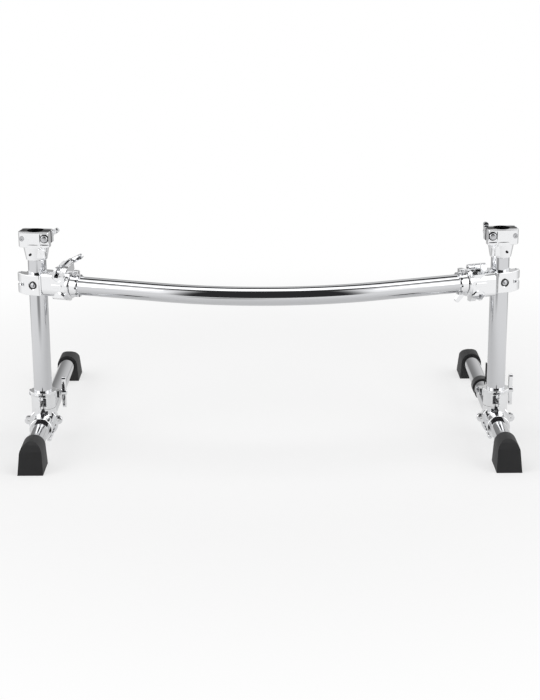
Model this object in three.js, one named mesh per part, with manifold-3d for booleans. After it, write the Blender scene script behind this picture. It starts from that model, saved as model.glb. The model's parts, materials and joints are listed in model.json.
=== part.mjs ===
// Drum rack frame: one curved front bar carried by two uprights, each standing on a
// T-leg with a rubber foot at either end. Millimetres, +Z up, +X to the viewer's right,
// +Y away from the viewer, floor at z = 0, origin at the middle of the footprint.
import * as THREE from 'three';
import { mergeVertices } from 'three/addons/utils/BufferGeometryUtils.js';
import Module from 'manifold-3d';

const wasm = await Module();
wasm.setup();

// Driving sizes, millimetres unless the name says degrees or count.
const tubeRadius = 19.05;
const tubeWall = 2;
const legRadius = 18;
const legWall = 2;
const fit = 0.3;
const touch = 0.15;
const weldSink = 1;
const pastCut = 2;

const footprintDepth = 704;
const legFrontReach = 229;
const legAxisHeight = 38.8;
const uprightSpacing = 956;
const barHeight = 341;
const barEndYawDegrees = 19.5;
const barArcHalfWidth = 220;
const barEndFromUpright = 28;

const ringSegments = 26;
const smallSegments = 16;
const barArcSteps = 12;

const half = 0.5;
const double = 2;
const hubWaistShare = 0.8;
const collarJawCoverShare = 0.66;
const samePointShare = 0.001;

const footLength = 73.4;
const footHalfWidth = 25.7;
const footWaistHalfWidth = 22.8;
const footShoulderHeight = 10;
const footShoulderHalfWidth = 24.8;
const footTopHeight = 61.2;
const footNoseHeight = 45;
const footNoseSetBack = 13;
const footCrownSetBack = 32;
const footTubeDepth = 40;
const footArchSteps = 8;
const footFull = 3;

const uprightBottom = 61.6;
const uprightAboveBar = 81.4;
const uprightTop = barHeight + uprightAboveBar;

// T-leg clamp, lengths from the upright's axis; inward is towards the other upright.
const legSleeveRadius = 24;
const legSleeveFront = 62;
const legSleeveRear = 34;
const socketRadius = 25.5;
const socketRimRadius = 28;
const socketTop = 107;
const socketRimHeight = 5;
const socketSplitBottom = 70;
const splitInward = 5.5;
const splitGap = 0.6;
const lobeSpread = 31;
const lobeRadius = 9;
const lobeHeight = 44.5;
const lobeFront = 18;
const lobeThickness = 9;
const lobeHoleRadius = 2.4;
const legFlangeRadius = 31;
const legWindowWidth = 11;
const legWindowDepth = 7;
const legWindowBottom = 57;
const legWindowTop = 67;
const legWindowInward = 6;
const socketPinForward = 28.5;
const socketPinOutward = 2.8;
const socketPinRadius = 2.6;
const socketKnuckleRadius = 5.2;
const socketPinBottom = 74;
const socketPinTop = 99;
const socketKnuckleBottom = 80;
const socketKnuckleTop = 93;
const legEarBack = 28;
const legEarRadius = 8;
const legBoltHeight = 93;
const legBoltRadius = 3;
const legEarOuterReach = 28;
const legEarInnerReach = 33;
const legHeadRadius = 7;
const legHeadThickness = 5;
const legKnuckleInward = 16.5;
const legKnuckleHeight = 17.5;
const legKnuckleRadius = 5;
const legKnuckleLength = 14;
const legKnucklePitch = 26;

// Wing nuts, their wings a flat plate across the bolt.
const bigWingSpan = 68;
const smallWingSpan = 40;
const hubRadius = 7;
const hubLength = 13;
const wingWidth = 10;
const wingThickness = 4.4;
const wingLift = 6.4;
const hubRimRadius = 8.2;
const hubRimLength = 3;
const nutHoleRadius = 3.3;

// How far each wing nut was left turned, degrees.
const leftSwingNutTurn = 61;
const rightSwingNutTurn = 40;
const leftTopNutTurn = 60;
const rightTopNutTurn = 6;

// T-clamp, in its own frame: x along the bar from the upright, y to the rear, z up.
const collarRadius = 24.5;
const collarHalfHeight = 21.5;
const faceForward = 27;
const bodyTop = 29;
const bodyBottom = 25;
const bodyFrontFillet = 10;
const bodyEnd = 74;
const flangeEnd = 80;
const flangeRadius = 28;
const jawParting = 21;
const jawFront = 30;
const jawPartGap = 0.4;
const jawSplitDepth = 2;
const tongueReach = 3.2;
const tongueThickness = 3.2;
const tongueFront = 23.6;
const tongueHalfHeight = 14;
const outerPinOut = 33;
const outerPinForward = 8;
const outerPinRadius = 2.5;
const outerKnuckleRadius = 8;
const outerKnuckleGapHalf = 3.5;
const outerMidKnuckleRadius = 6;
const outerMidHalfHeight = 3.2;
const keyScrewAlong = 3;
const keyHeadRadius = 8.3;
const keyHeadThickness = 4.5;
const keyShankRadius = 3;
const keyRecessRadius = 9.4;
const keyRecessDepth = 3;
const keySquare = 5.4;
const keySquareDepth = 2;
const bossAlong = 62;
const bossHalfWidth = 14;
const bossTop = 37;
const bossStraight = 31;
const bossProud = 1.6;
const bossBack = 3;
const bossShoulder = 22;
const bossTopForward = 13;
const swingAlong = 57;
const swingPivotForward = 12;
const swingPivotHeight = 28;
const leftSwingTiltDegrees = 12;
const rightSwingTiltDegrees = -4;
const swingRadius = 3.2;
const swingEyeRadius = 6;
const swingEyeHalfWidth = 4;
const swingPinRadius = 2;
const swingPinHalfLength = 11;
const swingSlotHalfWidth = 4.5;
const swingSlotFloor = 19.8;
const earSeat = 44;
const earSlotFloor = 21.2;
const earHalfWidth = 12;
const earAboveBolt = 5.5;
const earBelowBolt = 11;
const earCrown = 20;
const swingLength = 59;
const swingNutGap = 0.5;
const barHingeBack = 9;
const barHingeDrop = 29.6;
const barKnuckleRadius = 6.4;
const barPinRadius = 2.2;
const barKnuckleStart = 30;
const barKnuckleEnd = 70;
const barKnuckleGap = 0.4;
const barPinProud = 2.5;
const barJawRadius = 24.5;
const barJawGap = 0.5;
const barWebTop = 20;

const lockStart = 80.5;
const lockLength = 16.5;
const lockRadius = 23.4;
const lockNotchCount = 10;
const lockNotchDepth = 3.2;
const lockNotchWidth = 5;
const lockEarHeight = 31;
const lockEarHalfThickness = 7;
const lockEarLength = 11;
const lockSplit = 1.6;
const lockScrewHeight = 26.4;
const lockScrewRadius = 2;
const lockHeadRadius = 3.6;
const lockHeadLength = 6;

// Accessory clamp, x inward, y to the rear; it stands on the upright's top.
const accessoryYawDegrees = 8;
const sleeveGrip = 31.9;
const sleeveTaperLength = 28.5;
const roofGap = 0.4;
const roofThickness = 2.2;
const jawDepth = 25.5;
const linerProud = 0.7;
const sleeveBottom = uprightTop - sleeveGrip;
const sleeveBottomRadius = 21.6;
const sleeveTopRadius = 27;
const shoulderHeight = sleeveBottom + sleeveTaperLength;
const roofBottom = uprightTop + roofGap;
const jawBottom = roofBottom + roofThickness;
const jawTop = jawBottom + jawDepth;
const jawHalfLength = 33;
const jawForward = 24;
const jawRear = 21;
const jawGapHalf = 2.4;
const linerBore = 14.6;
const linerRadius = 17.6;
const linerTop = jawTop + linerProud;
const roofHoleRadius = 15.2;
const clampBoltInward = 23.4;
const clampBoltRise = 12.5;
const clampBoltHeight = jawBottom + clampBoltRise;
const clampBoltRadius = 2.9;
const boltHeadRadius = 8.2;
const boltHeadThickness = 5;
const recessHalfWidth = 9.2;
const recessDrop = 1;
const recessHeight = 23.5;
const recessBottom = jawBottom - recessDrop;
const recessTop = recessBottom + recessHeight;
const recessDepth = 3;
const fulcrumRadius = 2.4;
const fulcrumHeadRadius = 5;
const fulcrumHeadThickness = 2.4;
const archInward = 13.5;
const archRadius = 10.4;
const archForward = 14.5;
const archDrop = 2;
const archTop = shoulderHeight - archDrop;
const setHoleOut = 7;
const setHoleRise = 13.5;
const setHoleHeight = sleeveBottom + setHoleRise;
const setHoleRadius = 2.7;
const jawChamfer = 5;

// Key clip on the right leg.
const clipBack = 222;
const clipWidth = 26;
const clipRadius = 21.2;
const clipHookRadius = 20.2;
const prongTop = 93;
const prongOutward = 15;
const prongSpread = 4.6;
const prongThickness = 3.4;
const prongDepth = 10;
const clipArmHalfWidth = 5;
const clipHookLength = 12;
const clipHookGap = 18;
const clipHookTop = 47;

const uprightY = legFrontReach - footprintDepth * half;
const uprightX = uprightSpacing * half;
const radians = Math.PI / 180;
const barEndYaw = barEndYawDegrees * radians;
const barArcRadius = barArcHalfWidth / Math.sin(barEndYaw);
const accessoryYaw = accessoryYawDegrees * radians;

// Materials, one per surface kind.
const looks = {
  chrome: { color: 0xd6d8db, roughness: 0.12, metalness: 1 },
  casting: { color: 0xc9cbce, roughness: 0.22, metalness: 1 },
  screw: { color: 0xa9acb0, roughness: 0.3, metalness: 1 },
  rubber: { color: 0x2c2c2e, roughness: 0.85, metalness: 0 },
  plastic: { color: 0x1b1b1d, roughness: 0.5, metalness: 0 },
};

const group = new THREE.Group();
group.name = 'drum_rack_frame';

// A closed geometry as a solid for cutting and joining.
function solid(geometry) {
  const bare = geometry.index ? geometry.clone() : geometry;
  bare.deleteAttribute('normal');
  bare.deleteAttribute('uv');
  const merged = mergeVertices(bare);
  const mesh = new wasm.Mesh({
    numProp: 3,
    vertProperties: new Float32Array(merged.attributes.position.array),
    triVerts: new Uint32Array(merged.index.array),
  });
  return new wasm.Manifold(mesh);
}

// A solid back to a geometry, faceted.
function geometryOf(body) {
  const mesh = body.getMesh();
  const geometry = new THREE.BufferGeometry();
  const positions = new Float32Array(mesh.vertProperties);
  geometry.setAttribute('position', new THREE.BufferAttribute(positions, 3));
  geometry.setIndex(new THREE.BufferAttribute(new Uint32Array(mesh.triVerts), 1));
  return geometry;
}

function moved(geometry, x, y, z) {
  geometry.translate(x, y, z);
  return geometry;
}

// Upright cylinder from z0 to z1 about (x, y).
function post(radius, x, y, z0, z1, segments = ringSegments, topRadius = radius) {
  const geometry = new THREE.CylinderGeometry(topRadius, radius, z1 - z0, segments);
  geometry.rotateX(Math.PI * half);
  return solid(moved(geometry, x, y, (z0 + z1) * half));
}

// Cylinder along x from x0 to x1 about (y, z).
function rodX(radius, y, z, x0, x1, segments = ringSegments) {
  const geometry = new THREE.CylinderGeometry(radius, radius, x1 - x0, segments);
  geometry.rotateZ(-Math.PI * half);
  return solid(moved(geometry, (x0 + x1) * half, y, z));
}

// Cylinder along y from y0 to y1 about (x, z).
function rodY(radius, x, z, y0, y1, segments = ringSegments) {
  const geometry = new THREE.CylinderGeometry(radius, radius, y1 - y0, segments);
  return solid(moved(geometry, x, (y0 + y1) * half, z));
}

function block(x0, x1, y0, y1, z0, z1) {
  const geometry = new THREE.BoxGeometry(x1 - x0, y1 - y0, z1 - z0);
  return solid(moved(geometry, (x0 + x1) * half, (y0 + y1) * half, (z0 + z1) * half));
}

// Prism of a closed outline drawn in the (u, v) plane; axis says where its length lies.
function prism(outline, from, to, axis) {
  const shape = new THREE.Shape(outline.map(([u, v]) => new THREE.Vector2(u, v)));
  const geometry = new THREE.ExtrudeGeometry(shape, { depth: to - from, bevelEnabled: false });
  geometry.translate(0, 0, from);
  if (axis === 'x') {
    geometry.applyMatrix4(new THREE.Matrix4().set(0, 0, 1, 0, 1, 0, 0, 0, 0, 1, 0, 0, 0, 0, 0, 1));
  }
  if (axis === 'y') {
    geometry.translate(0, 0, -from - to);
    geometry.rotateX(Math.PI * half);
  }
  return solid(geometry);
}

// Ring of points on an arc, for outlines.
function arcPoints(u, v, radius, fromDegrees, toDegrees, steps) {
  const points = [];
  for (let i = 0; i <= steps; i += 1) {
    const angle = (fromDegrees + ((toDegrees - fromDegrees) * i) / steps) * radians;
    points.push([u + radius * Math.cos(angle), v + radius * Math.sin(angle)]);
  }
  return points;
}

// Loft through rings of equal length, closed at both ends by fans.
function loft(rings) {
  const count = rings[0].length;
  const positions = [];
  const index = [];
  for (const ring of rings) {
    for (const point of ring) {
      positions.push(...point);
    }
  }
  for (let r = 0; r + 1 < rings.length; r += 1) {
    for (let i = 0; i < count; i += 1) {
      const next = (i + 1) % count;
      const a = r * count + i;
      const b = r * count + next;
      const c = (r + 1) * count + i;
      const d = (r + 1) * count + next;
      index.push(a, b, d, a, d, c);
    }
  }
  const last = (rings.length - 1) * count;
  for (let i = 1; i + 1 < count; i += 1) {
    index.push(0, i + 1, i);
    index.push(last, last + i, last + i + 1);
  }
  const geometry = new THREE.BufferGeometry();
  geometry.setAttribute('position', new THREE.Float32BufferAttribute(positions, 3));
  geometry.setIndex(index);
  return geometry;
}

// Places a solid with a matrix and adds it to the frame under a name.
function place(name, body, look, matrix) {
  const geometry = geometryOf(body);
  if (matrix) {
    geometry.applyMatrix4(matrix);
    if (matrix.determinant() < 0) {
      const order = geometry.index.array;
      for (let i = 0; i < order.length; i += 3) {
        const keep = order[i + 1];
        order[i + 1] = order[i + 2];
        order[i + 2] = keep;
      }
    }
  }
  const flat = geometry.toNonIndexed();
  flat.computeVertexNormals();
  const mesh = new THREE.Mesh(flat, new THREE.MeshStandardMaterial(looks[look]));
  mesh.name = name;
  group.add(mesh);
}

// Frames: the left side is drawn as is, the right one mirrored or turned over.
function sideMatrix(side) {
  const matrix = new THREE.Matrix4().makeTranslation(side * uprightX, uprightY, 0);
  return matrix.multiply(new THREE.Matrix4().makeScale(-side, 1, 1));
}

function accessoryMatrix(side) {
  const turn = new THREE.Matrix4().makeRotationZ(-accessoryYaw);
  return sideMatrix(side).multiply(turn);
}

function clampMatrix(side) {
  const matrix = new THREE.Matrix4().makeTranslation(side * uprightX, uprightY, barHeight);
  matrix.multiply(new THREE.Matrix4().makeRotationZ(side * barEndYaw));
  if (side > 0) {
    matrix.multiply(new THREE.Matrix4().makeRotationY(Math.PI));
  }
  return matrix;
}

// Wing nut about the x axis, its seat at x = 0, wings turned by an angle about x.
function wingNut(span, turnDegrees) {
  const hub = rodX(hubRadius, 0, 0, 0, hubLength, smallSegments);
  const rim = rodX(hubRimRadius, 0, 0, 0, hubRimLength, smallSegments);
  const tip = span * half - wingWidth * half;
  const along = [
    [-wingWidth * half, -tip],
    ...arcPoints(0, -tip, wingWidth * half, 180, 360, 6),
    [wingWidth * half, -tip],
    [hubRadius * hubWaistShare, 0],
    [wingWidth * half, tip],
    ...arcPoints(0, tip, wingWidth * half, 0, 180, 6),
    [-wingWidth * half, tip],
    [-hubRadius * hubWaistShare, 0],
  ];
  const outline = along.filter((p, i) => {
    const q = along[(i + 1) % along.length];
    return Math.hypot(p[0] - q[0], p[1] - q[1]) > wingWidth * samePointShare;
  });
  const wings = prism(outline, wingLift, wingLift + wingThickness, 'x');
  const hole = rodX(nutHoleRadius, 0, 0, -pastCut, hubLength + pastCut, smallSegments);
  const nut = hub.add(rim).add(wings).subtract(hole);
  const geometry = geometryOf(nut);
  geometry.rotateX(turnDegrees * radians);
  return solid(geometry);
}

// The bar: two straight ends and a shallow arc between them, as a solid rod and its hollow.
function curvedBar() {
  const points = [];
  const reach = uprightX - barEndFromUpright * Math.cos(barEndYaw);
  const endY = uprightY - barEndFromUpright * Math.sin(barEndYaw);
  points.push([-reach, endY, -barEndYaw]);
  for (let i = 0; i <= barArcSteps; i += 1) {
    const angle = -barEndYaw + (double * barEndYaw * i) / barArcSteps;
    const x = barArcRadius * Math.sin(angle);
    const drop = barArcRadius * (Math.cos(angle) - Math.cos(barEndYaw));
    const straight = (reach - barArcHalfWidth) * Math.tan(barEndYaw);
    points.push([x, endY - straight - drop, angle]);
  }
  points.push([reach, endY, barEndYaw]);
  const skin = (radius) => points.map(([x, y, yaw]) => {
    const ring = [];
    for (let i = 0; i < ringSegments; i += 1) {
      const angle = (double * Math.PI * i) / ringSegments;
      const sideways = radius * Math.cos(angle);
      ring.push([x - sideways * Math.sin(yaw), y + sideways * Math.cos(yaw),
        barHeight + radius * Math.sin(angle)]);
    }
    return ring;
  });
  return { outer: solid(loft(skin(tubeRadius))), inner: solid(loft(skin(tubeRadius - tubeWall))) };
}


// Rubber foot, its tube mouth at y = 0 and its nose towards -y.
function foot() {
  const arch = arcPoints(0, legAxisHeight, footWaistHalfWidth, 0, 180, footArchSteps);
  const section = [
    [-footShoulderHalfWidth, footShoulderHeight],
    [-footHalfWidth, 0],
    [footHalfWidth, 0],
    [footShoulderHalfWidth, footShoulderHeight],
    ...arch,
  ];
  const bulk = prism(section, -footLength, 0, 'y');
  const footBrowHeight = (footNoseHeight + footTopHeight) * half + footFull;
  const profile = [
    [-footLength, 0],
    [0, 0],
    [0, footTopHeight],
    [-footLength + footCrownSetBack, footTopHeight],
    [-footLength + (footNoseSetBack + footCrownSetBack) * half, footBrowHeight],
    [-footLength + footNoseSetBack, footNoseHeight],
  ];
  const side = prism(profile, -footHalfWidth * double, footHalfWidth * double, 'x');
  const mouth = rodY(legRadius + fit, 0, legAxisHeight, -footTubeDepth - fit, pastCut);
  return bulk.intersect(side).subtract(mouth);
}

// The split socket ring round the upright; its inner half belongs to the jaw.
function socketRing(inner) {
  const wall = post(socketRadius, 0, 0, socketSplitBottom, socketTop);
  const rim = post(socketRadius, 0, 0, socketTop - socketRimHeight * double, socketTop - socketRimHeight,
    ringSegments, socketRimRadius);
  const lip = post(socketRimRadius, 0, 0, socketTop - socketRimHeight, socketTop);
  const keep = inner
    ? block(splitInward + splitGap * half, socketRimRadius * double, -socketRimRadius * double,
      socketRimRadius * double, socketSplitBottom + splitGap, socketTop + pastCut)
    : block(-socketRimRadius * double, splitInward - splitGap * half, -socketRimRadius * double,
      socketRimRadius * double, socketSplitBottom - weldSink, socketTop + pastCut);
  return wall.add(rim).add(lip).intersect(keep);
}

function legEar(from, to) {
  const round = rodX(legEarRadius, legEarBack, legBoltHeight, from, to, smallSegments);
  const root = block(from, to, tubeRadius * half, legEarBack, legBoltHeight - legEarRadius,
    legBoltHeight + legEarRadius);
  return round.add(root);
}

const uprightBore = () => post(tubeRadius + fit, 0, 0, uprightBottom - fit, socketTop + pastCut);
const legBoltBore = () => rodX(legBoltRadius + fit, legEarBack, legBoltHeight,
  -legEarOuterReach - pastCut, legEarInnerReach + pastCut, smallSegments);
const socketPinBore = (radius) => post(radius, -socketPinOutward, -socketPinForward,
  socketPinBottom - pastCut, socketPinTop + pastCut, smallSegments);

function legClampBody() {
  let body = rodY(legSleeveRadius, 0, legAxisHeight, -legSleeveFront, legSleeveRear);
  body = body.add(post(socketRadius, 0, 0, legAxisHeight, socketSplitBottom));
  body = body.add(socketRing(false));
  body = body.add(legEar(-legEarOuterReach, splitInward - splitGap * half));
  for (const sign of [-1, 1]) {
    body = body.add(rodY(lobeRadius, sign * lobeSpread, lobeHeight, -lobeFront,
      lobeThickness - lobeFront, smallSegments));
  }
  body = body.add(block(-lobeSpread, lobeSpread, -lobeFront, lobeThickness - lobeFront,
    lobeHeight - lobeRadius, lobeHeight + lobeRadius));
  body = body.add(rodY(legFlangeRadius, 0, legAxisHeight, -lobeFront, lobeThickness - lobeFront));
  for (const place of [0, 1]) {
    const start = -legSleeveFront + weldSink + place * legKnucklePitch;
    body = body.add(rodY(legKnuckleRadius, legKnuckleInward, legKnuckleHeight, start,
      start + legKnuckleLength, smallSegments));
  }
  for (const [low, high] of [[socketPinBottom, socketKnuckleBottom - fit],
    [socketKnuckleTop + fit, socketPinTop]]) {
    body = body.add(post(socketKnuckleRadius, -socketPinOutward, -socketPinForward, low, high,
      smallSegments));
  }
  body = body.subtract(post(socketKnuckleRadius + fit, -socketPinOutward, -socketPinForward,
    socketKnuckleBottom - fit, socketKnuckleTop + fit, smallSegments));
  body = body.subtract(rodY(legRadius + fit, 0, legAxisHeight, -legSleeveFront - pastCut,
    legSleeveRear + pastCut));
  body = body.subtract(uprightBore());
  body = body.subtract(legBoltBore());
  body = body.subtract(socketPinBore(socketPinRadius + touch));
  body = body.subtract(block(legWindowInward - legWindowWidth * half,
    legWindowInward + legWindowWidth * half, -socketRadius - pastCut,
    -socketRadius + legWindowDepth, legWindowBottom, legWindowTop));
  for (const sign of [-1, 1]) {
    body = body.subtract(rodY(lobeHoleRadius, sign * lobeSpread, lobeHeight, -lobeFront - pastCut,
      lobeThickness - lobeFront + pastCut, smallSegments));
  }
  return body.subtract(rodY(lobeHoleRadius * half, legKnuckleInward, legKnuckleHeight,
    -legSleeveFront - pastCut, legSleeveRear, smallSegments));
}

function legClampJaw() {
  let jaw = socketRing(true);
  jaw = jaw.add(legEar(splitInward + splitGap * half, legEarInnerReach));
  jaw = jaw.add(post(socketKnuckleRadius, -socketPinOutward, -socketPinForward,
    socketKnuckleBottom, socketKnuckleTop, smallSegments));
  jaw = jaw.add(block(-socketPinOutward, socketKnuckleRadius * double,
    -socketPinForward - socketKnuckleRadius, -socketRadius - fit,
    socketKnuckleBottom, socketKnuckleTop));
  jaw = jaw.add(block(splitInward + splitGap * half, socketKnuckleRadius * double,
    -socketPinForward - socketKnuckleRadius, -tubeRadius, socketKnuckleBottom, socketKnuckleTop));
  jaw = jaw.subtract(uprightBore());
  jaw = jaw.subtract(legBoltBore());
  return jaw.subtract(socketPinBore(socketPinRadius + touch));
}

// The bolt's nut end is on the inner side of the left leg and the outer side of the right one.
function legBolt(nutInward) {
  const tail = nutInward ? legEarInnerReach + hubLength + fit * double : -legEarOuterReach - hubLength;
  const head = nutInward ? -legEarOuterReach - fit : legEarInnerReach + fit;
  const headEnd = nutInward ? head - legHeadThickness : head + legHeadThickness;
  const shank = rodX(legBoltRadius, legEarBack, legBoltHeight, Math.min(tail, head),
    Math.max(tail, head), smallSegments);
  return shank.add(rodX(legHeadRadius, legEarBack, legBoltHeight, Math.min(head, headEnd),
    Math.max(head, headEnd), smallSegments));
}

// Side profile of the T-clamp's front shell, with its rounded front edges.
function shellProfile(back) {
  const low = bodyFrontFillet * double;
  return [
    ...arcPoints(-faceForward + low, -bodyBottom + low, low, 180, 270, 5),
    [back, -bodyBottom],
    [back, bodyTop],
    ...arcPoints(-faceForward + bodyFrontFillet, bodyTop - bodyFrontFillet, bodyFrontFillet,
      90, 180, 4),
  ];
}

// Point on the swing bolt's axis at a distance from its pivot, as (y, z).
function swingPoint(distance, tilt) {
  return [
    -swingPivotForward + distance * Math.cos(tilt),
    swingPivotHeight + distance * Math.sin(tilt),
  ];
}

// Everything behind the body's slanted parting plane, which runs through the bar hinge.
function behindParting(offset) {
  const reach = flangeRadius * double;
  const plan = [
    [barHingeBack + offset, -reach],
    [reach, -reach],
    [reach, reach],
    [offset, reach],
    [offset, tubeRadius],
    [barHingeBack + offset, -tubeRadius],
  ];
  return prism(plan, 0, reach * double, 'x');
}

const clampTubeBore = () => post(tubeRadius + fit, 0, 0, -bodyBottom - pastCut, bodyTop + pastCut);
const clampBarBore = () => rodX(tubeRadius + fit, 0, 0, barEndFromUpright - fit,
  flangeEnd + pastCut);

// Raised U pad on the front face, above (sign 1) or below (-1); its shoulders slope back.
function bossPad(sign) {
  const pad = [
    ...arcPoints(bossAlong, bossStraight, bossHalfWidth, 180, 360, 8),
    [bossAlong + bossHalfWidth, bossTop],
    [bossAlong - bossHalfWidth, bossTop],
  ];
  const top = sign > 0 ? bossTop : barHingeDrop;
  const profile = [
    [-faceForward - bossProud, 0],
    [-bossBack, 0],
    [-bossBack, sign * top],
    [-bossTopForward, sign * top],
    [-faceForward - bossProud, sign * bossShoulder],
  ];
  const sides = prism(profile, bossAlong - bossHalfWidth, bossAlong + bossHalfWidth, 'x');
  const face = pad.map(([u, v]) => [u, sign * v]);
  return prism(face, -faceForward - bossProud, -bossBack, 'y').intersect(sides);
}

function clampBody() {
  const reach = collarRadius * double;
  let collar = post(collarRadius, 0, 0, -collarHalfHeight, collarHalfHeight);
  collar = collar.add(block(tubeRadius * half, barEndFromUpright, -jawSplitDepth, tubeRadius * half,
    -collarHalfHeight, collarHalfHeight));
  collar = collar.subtract(block(-reach, 0, -reach, -jawSplitDepth, -reach, reach));
  collar = collar.subtract(block(-weldSink, jawParting, -reach, -tubeRadius * collarJawCoverShare,
    -reach, reach));
  let shell = prism(shellProfile(barHingeBack), jawParting, bodyEnd, 'x');
  const disc = rodX(flangeRadius, 0, 0, bodyEnd - weldSink, flangeEnd);
  shell = shell.add(disc);
  shell = shell.add(bossPad(1)).add(bossPad(-1));
  for (const [from, to] of hingeKnuckles(true)) {
    shell = shell.add(block(from, to, barHingeBack - barKnuckleRadius, barHingeBack,
      -barHingeDrop, -bodyBottom + weldSink));
  }
  shell = shell.subtract(behindParting(-barJawGap * half));
  let body = collar.add(shell);
  body = body.add(post(outerMidKnuckleRadius, -outerPinOut, -outerPinForward,
    -outerMidHalfHeight, outerMidHalfHeight, smallSegments));
  body = body.add(block(-outerPinOut, -tubeRadius, -outerPinForward, outerMidKnuckleRadius,
    -outerMidHalfHeight, outerMidHalfHeight));
  for (const [from, to] of hingeKnuckles(true)) {
    body = body.add(rodX(barKnuckleRadius, barHingeBack, -barHingeDrop, from, to, smallSegments));
  }
  for (const [from, to] of hingeKnuckles(false)) {
    body = body.subtract(rodX(barKnuckleRadius + fit, barHingeBack, -barHingeDrop,
      from - barKnuckleGap, to + barKnuckleGap, smallSegments));
  }
  body = body.subtract(block(swingAlong - swingSlotHalfWidth, swingAlong + swingSlotHalfWidth,
    -faceForward - bossProud - pastCut, pastCut, swingSlotFloor, bossTop + pastCut));
  body = body.subtract(rodX(swingPinRadius + touch, -swingPivotForward, swingPivotHeight,
    swingAlong - swingPinHalfLength - fit, swingAlong + swingPinHalfLength + fit, smallSegments));
  body = body.subtract(block(jawParting - weldSink, jawParting + tongueReach + fit,
    -tongueFront - fit, -tongueFront + tongueThickness + fit, -tongueHalfHeight - fit,
    tongueHalfHeight + fit));
  body = body.subtract(post(outerPinRadius + touch, -outerPinOut, -outerPinForward,
    -collarHalfHeight, collarHalfHeight, smallSegments));
  body = body.subtract(rodX(barPinRadius + touch, barHingeBack, -barHingeDrop,
    barKnuckleStart - pastCut, barKnuckleEnd + pastCut, smallSegments));
  return body.subtract(clampTubeBore()).subtract(clampBarBore());
}

// Lengths of the hinge taken by the body (two ends) or by the jaw (middle).
function hingeKnuckles(ofBody) {
  const third = (barKnuckleEnd - barKnuckleStart) / 3;
  const first = barKnuckleStart + third;
  const second = barKnuckleEnd - third;
  if (ofBody) {
    return [
      [barKnuckleStart, first - barKnuckleGap * half],
      [second + barKnuckleGap * half, barKnuckleEnd],
    ];
  }
  return [[first + barKnuckleGap * half, second - barKnuckleGap * half]];
}

// Rear half of the bar socket, hinged below, with a slotted ear for the swing bolt.
function barJaw(tilt) {
  const reach = flangeRadius * double;
  let jaw = rodX(barJawRadius, 0, 0, barEndFromUpright + fit, bodyEnd);
  jaw = jaw.add(rodX(flangeRadius, 0, 0, bodyEnd - weldSink, flangeEnd));
  const [seatY, seatZ] = swingPoint(earSeat, tilt);
  const [crownY, crownZ] = swingPoint(earCrown, tilt);
  const slopeY = Math.sin(tilt);
  const slopeZ = Math.cos(tilt);
  const ear = [
    [0, tubeRadius],
    [tubeRadius, earBelowBolt],
    [seatY + earBelowBolt * slopeY, seatZ - earBelowBolt * slopeZ],
    [seatY - earAboveBolt * slopeY, seatZ + earAboveBolt * slopeZ],
    [crownY - earAboveBolt * slopeY, crownZ + earAboveBolt * slopeZ],
    [0, bodyTop],
  ];
  jaw = jaw.add(prism(ear, swingAlong - earHalfWidth, swingAlong + earHalfWidth, 'x'));
  const [[from, to]] = hingeKnuckles(false);
  jaw = jaw.add(block(from, to, barHingeBack, barHingeBack + barKnuckleRadius, -barHingeDrop,
    -barWebTop));
  jaw = jaw.intersect(behindParting(barJawGap * half));
  jaw = jaw.add(rodX(barKnuckleRadius, barHingeBack, -barHingeDrop, from, to, smallSegments));
  for (const [start, end] of hingeKnuckles(true)) {
    jaw = jaw.subtract(rodX(barKnuckleRadius + fit, barHingeBack, -barHingeDrop,
      start - barKnuckleGap, end + barKnuckleGap * half, smallSegments));
  }
  jaw = jaw.subtract(block(swingAlong - swingRadius - fit, swingAlong + swingRadius + fit, -reach, reach,
    earSlotFloor, reach));
  jaw = jaw.subtract(rodX(barPinRadius + touch, barHingeBack, -barHingeDrop,
    from - pastCut, to + pastCut, smallSegments));
  return jaw.subtract(clampBarBore());
}

function collarJaw() {
  const reach = collarRadius * double;
  const innerEdge = jawParting - jawPartGap;
  const split = -jawSplitDepth - jawPartGap;
  const lower = -tubeRadius * collarJawCoverShare - jawPartGap;
  const plan = [
    [-outerPinOut, split],
    [-outerPinOut - outerKnuckleRadius + weldSink, -outerPinForward],
    [-outerPinOut - outerKnuckleRadius * half, -outerPinForward - outerKnuckleRadius],
    [-collarRadius, -collarRadius],
    [-collarRadius * half, -jawFront],
    [innerEdge - tongueReach, -jawFront],
    [innerEdge, -faceForward],
    [innerEdge, lower],
    [0, lower],
    [0, split],
  ];
  let jaw = prism(plan, -collarHalfHeight, collarHalfHeight, 'z');
  jaw = jaw.add(post(outerKnuckleRadius, -outerPinOut, -outerPinForward, -collarHalfHeight + weldSink,
    collarHalfHeight - weldSink, smallSegments));
  jaw = jaw.subtract(block(-reach, -tubeRadius + weldSink, -reach, reach, -outerKnuckleGapHalf,
    outerKnuckleGapHalf));
  jaw = jaw.subtract(post(collarRadius + fit, 0, 0, -reach, reach).intersect(
    block(-reach, 0, split, reach, -reach, reach)));
  jaw = jaw.add(block(innerEdge - weldSink, innerEdge + tongueReach, -tongueFront,
    -tongueFront + tongueThickness, -tongueHalfHeight, tongueHalfHeight));
  jaw = jaw.subtract(rodY(keyRecessRadius, keyScrewAlong, 0, -jawFront - pastCut,
    -jawFront + keyRecessDepth, smallSegments));
  jaw = jaw.subtract(rodY(keyShankRadius + fit, keyScrewAlong, 0, -jawFront, 0, smallSegments));
  jaw = jaw.subtract(post(outerPinRadius + touch, -outerPinOut, -outerPinForward, -reach, reach,
    smallSegments));
  return jaw.subtract(clampTubeBore());
}

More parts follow.
